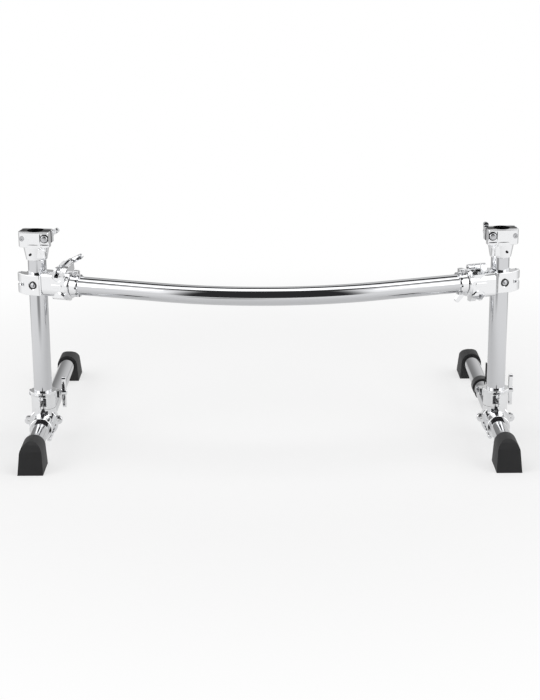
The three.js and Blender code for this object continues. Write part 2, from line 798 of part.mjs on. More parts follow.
function keyScrew() {
  const seat = -jawFront + keyRecessDepth - fit;
  const shank = rodY(keyShankRadius, keyScrewAlong, 0, seat, -tubeRadius - fit, smallSegments);
  const washer = rodY(keyHeadRadius, keyScrewAlong, 0, seat - keyHeadThickness * half, seat,
    smallSegments);
  const stud = block(keyScrewAlong - keySquare * half, keyScrewAlong + keySquare * half,
    seat - keyHeadThickness - keySquareDepth, seat - weldSink, -keySquare * half, keySquare * half);
  return shank.add(washer).add(stud);
}

function swingBolt(tilt) {
  const eye = rodX(swingEyeRadius, -swingPivotForward, swingPivotHeight,
    swingAlong - swingEyeHalfWidth, swingAlong + swingEyeHalfWidth, smallSegments);
  const pin = rodX(swingPinRadius, -swingPivotForward, swingPivotHeight,
    swingAlong - swingPinHalfLength, swingAlong + swingPinHalfLength, smallSegments);
  const shaft = new THREE.CylinderGeometry(swingRadius, swingRadius, swingLength, smallSegments);
  shaft.translate(0, swingLength * half, 0);
  shaft.rotateX(tilt);
  shaft.translate(swingAlong, -swingPivotForward, swingPivotHeight);
  return eye.add(pin).add(solid(shaft));
}

// Frame of the swing bolt's nut: its own x along the bolt, on the seat of the jaw's ear.
function swingNutMatrix(tilt) {
  const [seatY, seatZ] = swingPoint(earSeat + swingNutGap, tilt);
  const along = new THREE.Vector3(0, Math.cos(tilt), Math.sin(tilt));
  const side = new THREE.Vector3(1, 0, 0);
  const third = new THREE.Vector3().crossVectors(along, side);
  const matrix = new THREE.Matrix4().makeBasis(along, side, third);
  matrix.setPosition(swingAlong, seatY, seatZ);
  return matrix;
}

// Memory lock: a split ring on the bar, notched on its far face.
function memoryLock() {
  const end = lockStart + lockLength;
  let ring = rodX(lockRadius, 0, 0, lockStart, end);
  const middle = lockStart + lockLength * half;
  ring = ring.add(block(middle - lockEarLength * half, middle + lockEarLength * half,
    -lockEarHalfThickness, lockEarHalfThickness, tubeRadius, lockEarHeight));
  for (let i = 0; i < lockNotchCount; i += 1) {
    const notch = new THREE.BoxGeometry(lockNotchDepth * double, lockNotchWidth, lockRadius);
    notch.translate(end, 0, -tubeRadius - lockRadius * half);
    notch.rotateX(((i + half) * double * Math.PI) / lockNotchCount);
    ring = ring.subtract(solid(notch));
  }
  ring = ring.subtract(block(lockStart - pastCut, end + pastCut, -lockSplit * half, lockSplit * half,
    0, lockEarHeight + pastCut));
  ring = ring.subtract(rodY(lockScrewRadius + fit, middle, lockScrewHeight, -lockEarHeight,
    lockEarHeight, smallSegments));
  return ring.subtract(rodX(tubeRadius + fit, 0, 0, lockStart - pastCut, end + pastCut));
}

function lockScrew() {
  const middle = lockStart + lockLength * half;
  const head = -lockEarHalfThickness - fit;
  const shank = rodY(lockScrewRadius, middle, lockScrewHeight, head, lockEarHalfThickness,
    smallSegments);
  return shank.add(rodY(lockHeadRadius, middle, lockScrewHeight, head - lockHeadLength, head,
    smallSegments));
}

// Accessory clamp: a socket on the upright's end under a two-jaw vertical clamp.
const clampHole = (inward) => rodY((inward > 0 ? clampBoltRadius : fulcrumRadius) + fit, inward,
  clampBoltHeight, -jawForward - pastCut, jawRear + pastCut, smallSegments);

function accessoryBody() {
  let body = post(sleeveBottomRadius, 0, 0, sleeveBottom, shoulderHeight, ringSegments, sleeveTopRadius);
  body = body.add(post(sleeveTopRadius, 0, 0, shoulderHeight - weldSink, jawBottom - fit));
  const plan = [
    [-jawHalfLength, -jawGapHalf],
    [-jawHalfLength, -jawForward + jawChamfer * double],
    [-jawHalfLength + jawChamfer, -jawForward],
    [jawHalfLength - jawChamfer * half, -jawForward],
    [jawHalfLength, -jawForward + jawChamfer * half],
    [jawHalfLength, -jawGapHalf],
  ];
  body = body.add(prism(plan, shoulderHeight, jawTop, 'z'));
  const dome = new THREE.SphereGeometry(archRadius, smallSegments, smallSegments * half);
  body = body.add(post(archRadius, archInward, -archForward, sleeveBottom + archRadius * half,
    archTop - archRadius, smallSegments));
  body = body.add(solid(moved(dome, archInward, -archForward, archTop - archRadius)));
  body = body.subtract(block(clampBoltInward - recessHalfWidth, clampBoltInward + recessHalfWidth,
    -jawForward - pastCut, -jawForward + recessDepth, recessBottom, recessTop));
  body = body.subtract(rodY(fulcrumHeadRadius + fit, -clampBoltInward, clampBoltHeight,
    -jawForward - pastCut, -jawForward + fulcrumHeadThickness, smallSegments));
  body = body.subtract(clampHole(clampBoltInward)).subtract(clampHole(-clampBoltInward));
  body = body.subtract(rodY(setHoleRadius, -setHoleOut, setHoleHeight, -sleeveTopRadius, 0,
    smallSegments));
  body = body.subtract(post(linerRadius + fit, 0, 0, jawBottom - fit, jawTop + pastCut));
  body = body.subtract(post(roofHoleRadius, 0, 0, shoulderHeight, jawTop));
  return body.subtract(post(tubeRadius + fit, 0, 0, sleeveBottom - pastCut, roofBottom));
}

function accessoryJaw() {
  const plan = [
    [-jawHalfLength, jawGapHalf],
    [jawHalfLength, jawGapHalf],
    [jawHalfLength, jawRear - jawChamfer],
    [jawHalfLength - jawChamfer, jawRear],
    [-jawHalfLength + jawChamfer, jawRear],
    [-jawHalfLength, jawRear - jawChamfer],
  ];
  let jaw = prism(plan, jawBottom, jawTop, 'z');
  jaw = jaw.subtract(clampHole(clampBoltInward)).subtract(clampHole(-clampBoltInward));
  return jaw.subtract(post(linerRadius + fit, 0, 0, jawBottom - pastCut, jawTop + pastCut));
}

function liner(sign) {
  const shell = post(linerRadius, 0, 0, jawBottom, linerTop)
    .subtract(post(linerBore, 0, 0, jawBottom - pastCut, linerTop + pastCut));
  const near = sign * jawGapHalf * half;
  const far = sign * linerRadius * double;
  return shell.intersect(block(-linerRadius, linerRadius, Math.min(near, far), Math.max(near, far),
    jawBottom - pastCut, linerTop + pastCut));
}

function clampBolt() {
  const seat = -jawForward + recessDepth - fit;
  const end = jawRear + fit + hubLength + fit;
  const shank = rodY(clampBoltRadius, clampBoltInward, clampBoltHeight, seat, end, smallSegments);
  const dome = rodY(boltHeadRadius, clampBoltInward, clampBoltHeight, seat - boltHeadThickness, seat,
    smallSegments);
  return shank.add(dome);
}

function fulcrumScrew() {
  const seat = -jawForward + fulcrumHeadThickness - fit;
  const shank = rodY(fulcrumRadius, -clampBoltInward, clampBoltHeight, seat, jawRear, smallSegments);
  return shank.add(rodY(fulcrumHeadRadius, -clampBoltInward, clampBoltHeight, -jawForward, seat,
    smallSegments));
}

// Key clip: a plastic ring on the right leg with two prongs and a small hook.
function keyClip() {
  const start = clipBack - clipWidth * half;
  const end = clipBack + clipWidth * half;
  const hookStart = start - clipHookGap - clipHookLength;
  let clip = rodY(clipRadius, 0, legAxisHeight, start, end);
  for (const sign of [-1, 1]) {
    const middle = sign * prongSpread - prongOutward;
    clip = clip.add(block(middle - prongThickness * half, middle + prongThickness * half,
      clipBack - prongDepth * half, clipBack + prongDepth * half, legAxisHeight, prongTop));
  }
  const hook = rodY(clipHookRadius, 0, legAxisHeight, hookStart, hookStart + clipHookLength);
  clip = clip.add(hook.intersect(block(-clipArmHalfWidth, clipRadius * double,
    hookStart - pastCut, end, 0, clipHookTop)));
  const arm = rodY(clipHookRadius, 0, legAxisHeight, hookStart, end);
  clip = clip.add(arm.intersect(block(-clipArmHalfWidth, clipArmHalfWidth,
    hookStart - pastCut, end + pastCut, 0, legAxisHeight)));
  const tube = rodY(legRadius + fit, 0, legAxisHeight, hookStart - pastCut, end + pastCut);
  return clip.subtract(tube);
}

// The whole frame.
const bar = curvedBar();
place('curved_bar', bar.outer.subtract(bar.inner), 'chrome');

for (const [side, word] of [[-1, 'left'], [1, 'right']]) {
  const here = sideMatrix(side);
  const tube = post(tubeRadius, 0, 0, uprightBottom, uprightTop);
  const hollow = post(tubeRadius - tubeWall, 0, 0, uprightBottom - pastCut, uprightTop + pastCut);
  place(`${word}_upright_tube`, tube.subtract(hollow), 'chrome', here);

  const frontMouth = -legFrontReach + footLength;
  const rearMouth = footprintDepth - legFrontReach - footLength;
  const legSolid = rodY(legRadius, 0, legAxisHeight, frontMouth - footTubeDepth,
    rearMouth + footTubeDepth);
  const legHollow = rodY(legRadius - legWall, 0, legAxisHeight, frontMouth - footTubeDepth - pastCut,
    rearMouth + footTubeDepth + pastCut);
  place(`${word}_leg_tube`, legSolid.subtract(legHollow), 'chrome', here);
  const frontFoot = here.clone().multiply(new THREE.Matrix4().makeTranslation(0, frontMouth, 0));
  place(`${word}_front_foot`, foot(), 'rubber', frontFoot);
  const rearFoot = here.clone().multiply(new THREE.Matrix4().makeTranslation(0, rearMouth, 0));
  rearFoot.multiply(new THREE.Matrix4().makeRotationZ(Math.PI));
  place(`${word}_rear_foot`, foot(), 'rubber', rearFoot);

  place(`${word}_leg_clamp_body`, legClampBody(), 'casting', here);
  place(`${word}_leg_clamp_jaw`, legClampJaw(), 'casting', here);
  place(`${word}_leg_clamp_hinge_pin`, post(socketPinRadius, -socketPinOutward, -socketPinForward,
    socketPinBottom - weldSink, socketPinTop + weldSink, smallSegments), 'screw', here);
  const nutInward = side < 0;
  place(`${word}_leg_clamp_bolt`, legBolt(nutInward), 'screw', here);
  const nutSeat = nutInward ? legEarInnerReach + fit : -legEarOuterReach - fit;
  const legNut = here.clone().multiply(new THREE.Matrix4().makeTranslation(nutSeat, legEarBack,
    legBoltHeight));
  if (!nutInward) {
    legNut.multiply(new THREE.Matrix4().makeRotationZ(Math.PI));
  }
  place(`${word}_leg_clamp_wing_nut`, wingNut(bigWingSpan, 0), 'casting', legNut);

  const clamp = clampMatrix(side);
  const tilt = (side < 0 ? leftSwingTiltDegrees : rightSwingTiltDegrees) * radians;
  place(`${word}_t_clamp_body`, clampBody(), 'casting', clamp);
  place(`${word}_t_clamp_bar_jaw`, barJaw(tilt), 'casting', clamp);
  place(`${word}_t_clamp_bar_hinge_pin`, rodX(barPinRadius, barHingeBack, -barHingeDrop,
    barKnuckleStart - weldSink, barKnuckleEnd + barPinProud, smallSegments), 'screw', clamp);
  place(`${word}_t_clamp_swing_bolt`, swingBolt(tilt), 'screw', clamp);
  const swingNutTurn = side < 0 ? leftSwingNutTurn : rightSwingNutTurn;
  const swingNut = clamp.clone().multiply(swingNutMatrix(tilt));
  place(`${word}_t_clamp_wing_nut`, wingNut(bigWingSpan, swingNutTurn), 'casting', swingNut);
  place(`${word}_t_clamp_collar_jaw`, collarJaw(), 'casting', clamp);
  place(`${word}_t_clamp_collar_pin`, post(outerPinRadius, -outerPinOut, -outerPinForward,
    -collarHalfHeight - weldSink, collarHalfHeight + weldSink, smallSegments), 'screw', clamp);
  place(`${word}_t_clamp_key_screw`, keyScrew(), 'screw', clamp);

  const lock = new THREE.Matrix4().makeTranslation(side * uprightX, uprightY, barHeight);
  lock.multiply(new THREE.Matrix4().makeRotationZ(side * barEndYaw));
  lock.multiply(new THREE.Matrix4().makeScale(-side, 1, 1));
  place(`${word}_memory_lock`, memoryLock(), 'casting', lock);
  place(`${word}_memory_lock_screw`, lockScrew(), 'screw', lock);

  const top = accessoryMatrix(side);
  place(`${word}_accessory_clamp_body`, accessoryBody(), 'casting', top);
  place(`${word}_accessory_clamp_jaw`, accessoryJaw(), 'casting', top);
  place(`${word}_accessory_clamp_front_liner`, liner(-1), 'plastic', top);
  place(`${word}_accessory_clamp_rear_liner`, liner(1), 'plastic', top);
  place(`${word}_accessory_clamp_bolt`, clampBolt(), 'screw', top);
  place(`${word}_accessory_clamp_fulcrum_screw`, fulcrumScrew(), 'screw', top);
  const topNutTurn = side < 0 ? leftTopNutTurn : rightTopNutTurn;
  const topNut = top.clone().multiply(new THREE.Matrix4().makeTranslation(clampBoltInward,
    jawRear + fit, clampBoltHeight));
  topNut.multiply(new THREE.Matrix4().makeRotationZ(Math.PI * half));
  place(`${word}_accessory_clamp_wing_nut`, wingNut(smallWingSpan, topNutTurn), 'casting',
    topNut);
}
place('right_key_clip', keyClip(), 'plastic', sideMatrix(1));

export default group;
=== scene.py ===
import json
import math

import bpy
from mathutils import Matrix, Vector

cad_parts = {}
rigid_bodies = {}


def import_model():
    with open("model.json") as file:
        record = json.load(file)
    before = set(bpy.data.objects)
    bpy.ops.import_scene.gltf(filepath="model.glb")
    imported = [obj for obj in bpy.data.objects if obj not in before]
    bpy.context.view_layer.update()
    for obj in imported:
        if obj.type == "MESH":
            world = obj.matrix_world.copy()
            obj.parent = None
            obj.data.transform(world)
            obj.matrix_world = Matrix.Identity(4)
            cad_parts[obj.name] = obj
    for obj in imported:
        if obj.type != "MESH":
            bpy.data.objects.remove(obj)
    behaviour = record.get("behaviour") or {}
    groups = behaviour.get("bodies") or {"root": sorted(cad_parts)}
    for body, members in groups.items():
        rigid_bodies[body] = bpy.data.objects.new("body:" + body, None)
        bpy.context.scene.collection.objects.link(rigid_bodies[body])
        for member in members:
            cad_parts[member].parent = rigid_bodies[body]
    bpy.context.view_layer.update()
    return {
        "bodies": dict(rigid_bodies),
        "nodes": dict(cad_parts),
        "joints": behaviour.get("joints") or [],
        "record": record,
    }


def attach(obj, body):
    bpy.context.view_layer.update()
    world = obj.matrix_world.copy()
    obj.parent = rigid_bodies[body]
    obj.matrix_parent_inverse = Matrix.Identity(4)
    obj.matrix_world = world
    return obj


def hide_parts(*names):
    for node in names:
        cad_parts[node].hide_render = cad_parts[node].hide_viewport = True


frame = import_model()


# The view of the whole rack: from the front, standing height, looking a little down.
# The lens and the place of the camera are those that the photograph was taken with.
view_pitch = math.radians(16.36)
view_roll = math.radians(-0.341)
view_place = Vector((0.0017, -3.344, 1.137))
picture_height = 700
focal_pixels = 1600
sensor_long_side = 36

camera = bpy.data.cameras.new("rack_camera")
camera.sensor_width = sensor_long_side
camera.lens = focal_pixels * sensor_long_side / picture_height
viewer = bpy.data.objects.new("rack_camera", camera)
bpy.context.collection.objects.link(viewer)
ahead = Vector((0, math.cos(view_pitch), -math.sin(view_pitch)))
level = Vector((1, 0, 0))
above = level.cross(ahead)
across = level * math.cos(view_roll) + above * math.sin(view_roll)
upward = above * math.cos(view_roll) - level * math.sin(view_roll)
turn = Matrix((across, upward, -ahead)).transposed()
viewer.matrix_world = Matrix.Translation(view_place) @ turn.to_4x4()
bpy.context.scene.camera = viewer
bpy.context.scene.view_settings.view_transform = "Standard"


# The studio: white walls up to head height, a dark ring of ceiling round one long soft box
# over the rack, and the dark end of the room behind the camera. The chrome mirrors them.
# Each stop gives a place along a ramp, and the light there or the share of what it mixes in.
wall_stops = [
    (0.0, 0.7), (0.5, 1.1), (0.56, 1.33), (0.68, 1.4), (0.8, 1.1), (0.87, 0.82),
    (0.888, 0.04), (0.975, 0.03), (0.986, 0.6), (1.0, 0.65),
]
open_wall_stops = [(0.0, 0.7), (0.5, 1.1), (0.56, 1.33), (0.68, 1.4), (0.85, 1.0), (1.0, 0.65)]
open_wall_shares = [(0.34, 0), (0.44, 1), (0.625, 1), (0.665, 0)]
room_end_shares = [(0.0, 0), (0.74, 0), (0.885, 1), (1.0, 1)]
above_floor_shares = [(0.0, 0), (0.49, 0), (0.495, 1), (1.0, 1)]
room_end_colour = (0.035, 0.035, 0.037, 1)
rear_lean = 0.03
rear_wall_from, rear_wall_full = 0.68, 0.95
rear_wall_side = 0.4
rear_wall_tones = (0.25, 0.75)
white = (1, 1, 1, 1)
straight_up = 1.0001


def studio_ramp(nodes, links, value, stops):
    ramp = nodes.new("ShaderNodeValToRGB")
    ramp.color_ramp.interpolation = "EASE"
    while len(ramp.color_ramp.elements) < len(stops):
        ramp.color_ramp.elements.new(0.5)
    for element, (place, grey) in zip(ramp.color_ramp.elements, stops):
        element.position = place
        element.color = (grey, grey, grey, 1)
    links.new(value, ramp.inputs["Fac"])
    return ramp.outputs["Color"]


def studio_math(nodes, links, what, *values):
    node = nodes.new("ShaderNodeMath")
    node.operation = what
    for socket, value in zip(node.inputs, values):
        if isinstance(value, (int, float)):
            socket.default_value = value
        else:
            links.new(value, socket)
    return node.outputs[0]


def studio_map(nodes, links, value, before, after):
    node = nodes.new("ShaderNodeMapRange")
    node.interpolation_type = "SMOOTHSTEP"
    names = ("From Min", "From Max", "To Min", "To Max")
    for name, number in zip(names, before + after):
        node.inputs[name].default_value = number
    links.new(value, node.inputs["Value"])
    return node.outputs["Result"]


def studio_mix(nodes, links, share, first, second):
    node = nodes.new("ShaderNodeMix")
    node.data_type = "RGBA"
    links.new(share, node.inputs["Factor"])
    for name, value in (("A", first), ("B", second)):
        if isinstance(value, tuple):
            node.inputs[name].default_value = value
        else:
            links.new(value, node.inputs[name])
    return node.outputs["Result"]


studio = bpy.data.worlds.new("studio")
bpy.context.scene.world = studio
studio.use_nodes = True
nodes, links = studio.node_tree.nodes, studio.node_tree.links
nodes.clear()
direction = nodes.new("ShaderNodeTexCoord").outputs["Generated"]
parts = nodes.new("ShaderNodeSeparateXYZ")
links.new(direction, parts.inputs[0])
height = studio_math(nodes, links, "MULTIPLY_ADD", parts.outputs["Z"], 0.5, 0.5)
lean = studio_math(nodes, links, "MULTIPLY_ADD", parts.outputs["Y"], rear_lean, height)
walls = studio_ramp(nodes, links, lean, wall_stops)
open_walls = studio_ramp(nodes, links, lean, open_wall_stops)
flat = studio_math(nodes, links, "MULTIPLY", parts.outputs["Z"], parts.outputs["Z"])
flat = studio_math(nodes, links, "SUBTRACT", straight_up, flat)
flat = studio_math(nodes, links, "SQRT", flat)
front = studio_math(nodes, links, "DIVIDE", parts.outputs["Y"], flat)
front = studio_math(nodes, links, "MULTIPLY", front, -1)
half_front = studio_math(nodes, links, "MULTIPLY_ADD", front, 0.5, 0.5)
aside = studio_ramp(nodes, links, half_front, open_wall_shares)
walls = studio_mix(nodes, links, aside, walls, open_walls)
room_end = studio_ramp(nodes, links, front, room_end_shares)
lift = studio_ramp(nodes, links, height, above_floor_shares)
room_end = studio_math(nodes, links, "MULTIPLY", room_end, lift)
walls = studio_mix(nodes, links, room_end, walls, room_end_colour)
behind = studio_map(nodes, links, parts.outputs["Y"], (rear_wall_from, rear_wall_full), (0, 1))
rear_wall = studio_map(nodes, links, parts.outputs["X"], (-rear_wall_side, rear_wall_side), rear_wall_tones)
walls = studio_mix(nodes, links, behind, walls, rear_wall)
path = nodes.new("ShaderNodeLightPath")
walls = studio_mix(nodes, links, path.outputs["Is Camera Ray"], walls, white)
background = nodes.new("ShaderNodeBackground")
links.new(walls, background.inputs["Color"])
links.new(background.outputs[0], nodes.new("ShaderNodeOutputWorld").inputs["Surface"])

top_box_size, top_box_power, top_box_place = (3.2, 1.4), 20, (0, -0.1, 2.6)
side_box_size = (1.4, 1.6)
side_box_out, side_box_ahead, side_box_up = 2.6, -1.6, 1.5
left_box_power, right_box_power = 10, 8
rack_centre = (0, 0, 0)
rack_middle = (0, 0, 0.2)


def soft_box(name, size, power, place, target):
    light = bpy.data.lights.new(name, "AREA")
    light.shape = "RECTANGLE"
    light.size, light.size_y = size
    light.energy = power
    lamp = bpy.data.objects.new(name, light)
    bpy.context.collection.objects.link(lamp)
    aim = (Vector(target) - Vector(place)).to_track_quat("-Z", "Y")
    lamp.matrix_world = Matrix.Translation(place) @ aim.to_matrix().to_4x4()


soft_box("top_box", top_box_size, top_box_power, top_box_place, rack_centre)
left_box_place = (-side_box_out, side_box_ahead, side_box_up)
right_box_place = (side_box_out, side_box_ahead, side_box_up)
soft_box("left_box", side_box_size, left_box_power, left_box_place, rack_middle)
soft_box("right_box", side_box_size, right_box_power, right_box_place, rack_middle)


# The floor: matt white paper, seen pure white by the camera. Its mirror image in the chrome
# glows with painted shade: greyer near the rack, darker on a painted dark patch in front of
# the left post, behind the rack, and at the unlit far end; the rack's real shadow stays on it.
paper_size = 60
paper_white = (0.96, 0.96, 0.96, 1)
# Stops for the painted shade that the floor's glow shows in the chrome.
near_shade_reach, near_shade_tones = (0.3, 1.1), (0.7, 1)
shade_patch_place, shade_patch_reach, shade_patch_tones = (-0.4, -1.35), (0.15, 0.6), (0.36, 1)
rear_shade_reach, rear_shade_tones = (0.2, 0.9), (1, 0.5)
aisle_slants = (0.5, 0.85)
far_end_reach = (-2.9, -2.3)
far_end_tones = (1, 0.04)
glow_reach, glow_shares = (0.6, 1.5), (0.55, 1)

bpy.ops.object.select_all(action="DESELECT")
bpy.ops.mesh.primitive_plane_add(size=paper_size)
floor = bpy.context.object
floor.name = "studio_floor"
paper = bpy.data.materials.new("floor_paper")
paper.use_nodes = True
nodes, links = paper.node_tree.nodes, paper.node_tree.links
nodes.clear()
matt = nodes.new("ShaderNodeBsdfDiffuse")
matt.inputs["Color"].default_value = paper_white
glow = nodes.new("ShaderNodeEmission")
spot = nodes.new("ShaderNodeSeparateXYZ")
links.new(nodes.new("ShaderNodeTexCoord").outputs["Object"], spot.inputs[0])


def floor_reach(x, y):
    along = studio_math(nodes, links, "SUBTRACT", spot.outputs["X"], x)
    back = studio_math(nodes, links, "SUBTRACT", spot.outputs["Y"], y)
    squares = [studio_math(nodes, links, "POWER", part, 2) for part in (along, back)]
    return studio_math(nodes, links, "SQRT", studio_math(nodes, links, "ADD", *squares))


# Painted shade in the floor's glow, as the chrome mirrors it: darker near the rack, on a patch in front of
# the left post, behind the rack and at the far end.
tone = studio_map(nodes, links, floor_reach(0, 0), near_shade_reach, near_shade_tones)
shade_patch = studio_map(nodes, links, floor_reach(*shade_patch_place), shade_patch_reach, shade_patch_tones)
rear = studio_map(nodes, links, spot.outputs["Y"], rear_shade_reach, rear_shade_tones)
slant = studio_math(nodes, links, "DIVIDE", spot.outputs["X"], spot.outputs["Y"])
slant = studio_math(nodes, links, "ABSOLUTE", slant)
aisle = studio_map(nodes, links, slant, aisle_slants, (1, 0))
far_end = studio_map(nodes, links, spot.outputs["Y"], far_end_reach, (1, 0))
unlit = studio_math(nodes, links, "MULTIPLY", aisle, far_end)
unlit = studio_map(nodes, links, unlit, (0, 1), far_end_tones)
for part in (shade_patch, rear, unlit):
    tone = studio_math(nodes, links, "MULTIPLY", tone, part)
path = nodes.new("ShaderNodeLightPath")
seen = studio_math(nodes, links, "MAXIMUM", path.outputs["Is Camera Ray"], tone)
links.new(seen, glow.inputs["Strength"])
share = studio_map(nodes, links, floor_reach(0, 0), glow_reach, glow_shares)
rays = studio_math(nodes, links, "MAXIMUM", path.outputs["Is Camera Ray"], path.outputs["Is Glossy Ray"])
share = studio_math(nodes, links, "MULTIPLY", rays, share)
blend = nodes.new("ShaderNodeMixShader")
links.new(share, blend.inputs[0])
links.new(matt.outputs[0], blend.inputs[1])
links.new(glow.outputs[0], blend.inputs[2])
links.new(blend.outputs[0], nodes.new("ShaderNodeOutputMaterial").inputs["Surface"])
floor.data.materials.append(paper)


# The curved bar and the two uprights: drawn steel tube, 38.1 mm across, polished and
# chromed. The bar is bent once, level, towards the player's audience. All sizes from here
# on are in millimetres, and each piece is brought to metres when it is settled.
mm = 0.001
tube_radius = 19.05
tube_wall = 2
tube_lip = 0.5
upright_x = 478
upright_y = -123
bar_height = 341
bar_yaw = math.radians(19.5)
bar_arc_half_width = 220
bar_end_in = 28
bar_bend_steps = 72
upright_bottom = 61.6
upright_top = 422.4
round_sides = 96
smooth_corner = 11
overrun = 1
merge_gap = 0.002
bend_merge_gap = 0.001
both_sides = ((-1, "left"), (1, "right"))
chrome_cloud = (0.3, 0.75)


def finish_noise(tree, scale, detail):
    noise = tree.nodes.new("ShaderNodeTexNoise")
    noise.inputs["Scale"].default_value = scale
    noise.inputs["Detail"].default_value = detail
    place = tree.nodes.new("ShaderNodeTexCoord")
    tree.links.new(place.outputs["Object"], noise.inputs["Vector"])
    return noise.outputs["Fac"]


def finish_roughness(tree, noise, noise_range, roughness):
    spread = tree.nodes.new("ShaderNodeMapRange")
    names = ("From Min", "From Max", "To Min", "To Max")
    for name, number in zip(names, noise_range + roughness):
        spread.inputs[name].default_value = number
    tree.links.new(noise, spread.inputs["Value"])
    tree.links.new(spread.outputs["Result"], tree.nodes["Principled BSDF"].inputs["Roughness"])


def finish_bump(tree, noise, strength, depth):
    bump = tree.nodes.new("ShaderNodeBump")
    bump.inputs["Strength"].default_value = strength
    bump.inputs["Distance"].default_value = depth
    tree.links.new(noise, bump.inputs["Height"])
    tree.links.new(bump.outputs["Normal"], tree.nodes["Principled BSDF"].inputs["Normal"])


def chrome_finish(name, colour, roughness, ripple, ripple_scale, grain):
    finish = bpy.data.materials.new(name)
    finish.use_nodes = True
    tree = finish.node_tree
    shader = tree.nodes["Principled BSDF"]
    shader.inputs["Base Color"].default_value = (*colour, 1)
    shader.inputs["Metallic"].default_value = 1
    finish_roughness(tree, finish_noise(tree, grain, 6), chrome_cloud, roughness)
    finish_bump(tree, finish_noise(tree, ripple_scale, 3), ripple, mm)
    return finish


tube_chrome = chrome_finish("tube_chrome", (0.64, 0.645, 0.66), (0.03, 0.07), 0.02, 30, 160)


def only(piece):
    bpy.ops.object.select_all(action="DESELECT")
    piece.select_set(True)
    bpy.context.view_layer.objects.active = piece


def mode(name):
    bpy.ops.object.mode_set(mode=name)


def bake():
    bpy.ops.object.transform_apply(location=True, rotation=True, scale=True)


def spun(piece, angle):
    piece.rotation_euler.x = angle
    only(piece)
    bake()
    return piece


def rod(radius, start, end, top_radius=None, sides=round_sides):
    bpy.ops.object.select_all(action="DESELECT")
    start, end = Vector(start), Vector(end)
    along = end - start
    bpy.ops.mesh.primitive_cone_add(
        vertices=sides,
        radius1=radius,
        radius2=radius if top_radius is None else top_radius,
        depth=along.length,
        location=(start + end) / 2,
        rotation=along.to_track_quat("Z", "Y").to_euler(),
    )
    bake()
    return bpy.context.object


def post_rod(radius, low, high, top_radius=None):
    return rod(radius, (0, 0, low), (0, 0, high), top_radius)


def tidy(piece):
    only(piece)
    mode("EDIT")
    bpy.ops.mesh.select_all(action="SELECT")
    bpy.ops.mesh.remove_doubles(threshold=merge_gap)
    mode("OBJECT")
    return piece


def combine(piece, others, how):
    for other in others:
        only(piece)
        cut = piece.modifiers.new("cut", "BOOLEAN")
        cut.operation = how
        cut.solver = "MANIFOLD"
        cut.object = other
        bpy.ops.object.modifier_apply(modifier=cut.name)
        bpy.data.objects.remove(other)
    return tidy(piece)


def joined(piece, *others):
    return combine(piece, others, "UNION")


def cut_out(piece, *others):
    return combine(piece, others, "DIFFERENCE")


def soften(piece, width, steps=3, corner=28):
    only(piece)
    edge = piece.modifiers.new("edge", "BEVEL")
    edge.width = width
    edge.segments = steps
    edge.limit_method = "ANGLE"
    edge.angle_limit = math.radians(corner)
    bpy.ops.object.modifier_apply(modifier=edge.name)
    return piece


def settle(piece, name, node, body, finish, place=None):
    copy = piece.copy()
    copy.data = piece.data.copy()
    bpy.context.collection.objects.link(copy)
    where = Matrix.Scale(mm, 4) @ (place or Matrix())
    copy.data.transform(where)
    if where.determinant() < 0:
        copy.data.flip_normals()
    only(copy)
    bpy.ops.object.shade_smooth_by_angle(angle=math.radians(smooth_corner))
    copy.name = name
    copy.data.materials.clear()
    copy.data.materials.append(finish)
    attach(copy, body)
    if node:
        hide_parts(node)
    return copy


def done_with(*pieces):
    for piece in pieces:
        bpy.data.objects.remove(piece)


def side_frame(side):
    return Matrix.Translation((side * upright_x, upright_y, 0)) @ Matrix.Diagonal((-side, 1, 1, 1))


bar_reach = upright_x - bar_end_in * math.cos(bar_yaw)
bar_end_y = upright_y - bar_end_in * math.sin(bar_yaw)
bar_arc_y = bar_end_y - (bar_reach - bar_arc_half_width) * math.tan(bar_yaw)
bar_arc_radius = bar_arc_half_width / math.sin(bar_yaw)
bar_centre_y = bar_arc_y + bar_arc_radius * math.cos(bar_yaw)
bar_start = Vector((-bar_reach, bar_end_y, bar_height))
arc_start = Vector((-bar_arc_half_width, bar_arc_y, bar_height))
arc_end = Vector((bar_arc_half_width, bar_arc_y, bar_height))
bar_end = Vector((bar_reach, bar_end_y, bar_height))


def bent_rod(radius):
    bpy.ops.object.select_all(action="DESELECT")
    bpy.ops.mesh.primitive_circle_add(
        vertices=round_sides,
        radius=radius,
        fill_type="NGON",
        location=bar_start,
        rotation=(arc_start - bar_start).to_track_quat("Z", "Y").to_euler(),
    )
    bake()
    mode("EDIT")
    bpy.ops.mesh.select_all(action="SELECT")
    bpy.ops.mesh.extrude_region_move(TRANSFORM_OT_translate={"value": arc_start - bar_start})
    bpy.ops.mesh.spin(
        steps=bar_bend_steps,
        angle=-2 * bar_yaw,
        center=(0, bar_centre_y, bar_height),
        axis=(0, 0, 1),
    )
    bpy.ops.mesh.extrude_region_move(TRANSFORM_OT_translate={"value": bar_end - arc_end})
    bpy.ops.mesh.select_all(action="SELECT")
    bpy.ops.mesh.remove_doubles(threshold=bend_merge_gap)
    bpy.ops.mesh.normals_make_consistent(inside=False)
    mode("OBJECT")
    return bpy.context.object


bar = cut_out(bent_rod(tube_radius), bent_rod(tube_radius - tube_wall))
settle(bar, "curved_bar_fine", "curved_bar", "bar_and_t_clamps", tube_chrome)

upright = post_rod(tube_radius, upright_bottom, upright_top)
cut_out(upright, post_rod(tube_radius - tube_wall, upright_bottom - overrun, upright_top + overrun))
soften(upright, tube_lip)
for side, word in both_sides:
    settle(upright, f"{word}_upright_tube_fine", f"{word}_upright_tube", f"{word}_upright",
           tube_chrome, side_frame(side))
done_with(bar, upright)


# The leg tubes: drawn steel, 36 mm across, polished and chromed, one under each upright
# from front to back, plugged at both ends into the rubber feet.
leg_radius = 18
leg_wall = 2
leg_lip = 0.4
leg_height = 38.8
leg_start, leg_end = -195.6, 441.6


def leg_rod(radius, front, back):
    return rod(radius, (0, front, leg_height), (0, back, leg_height))


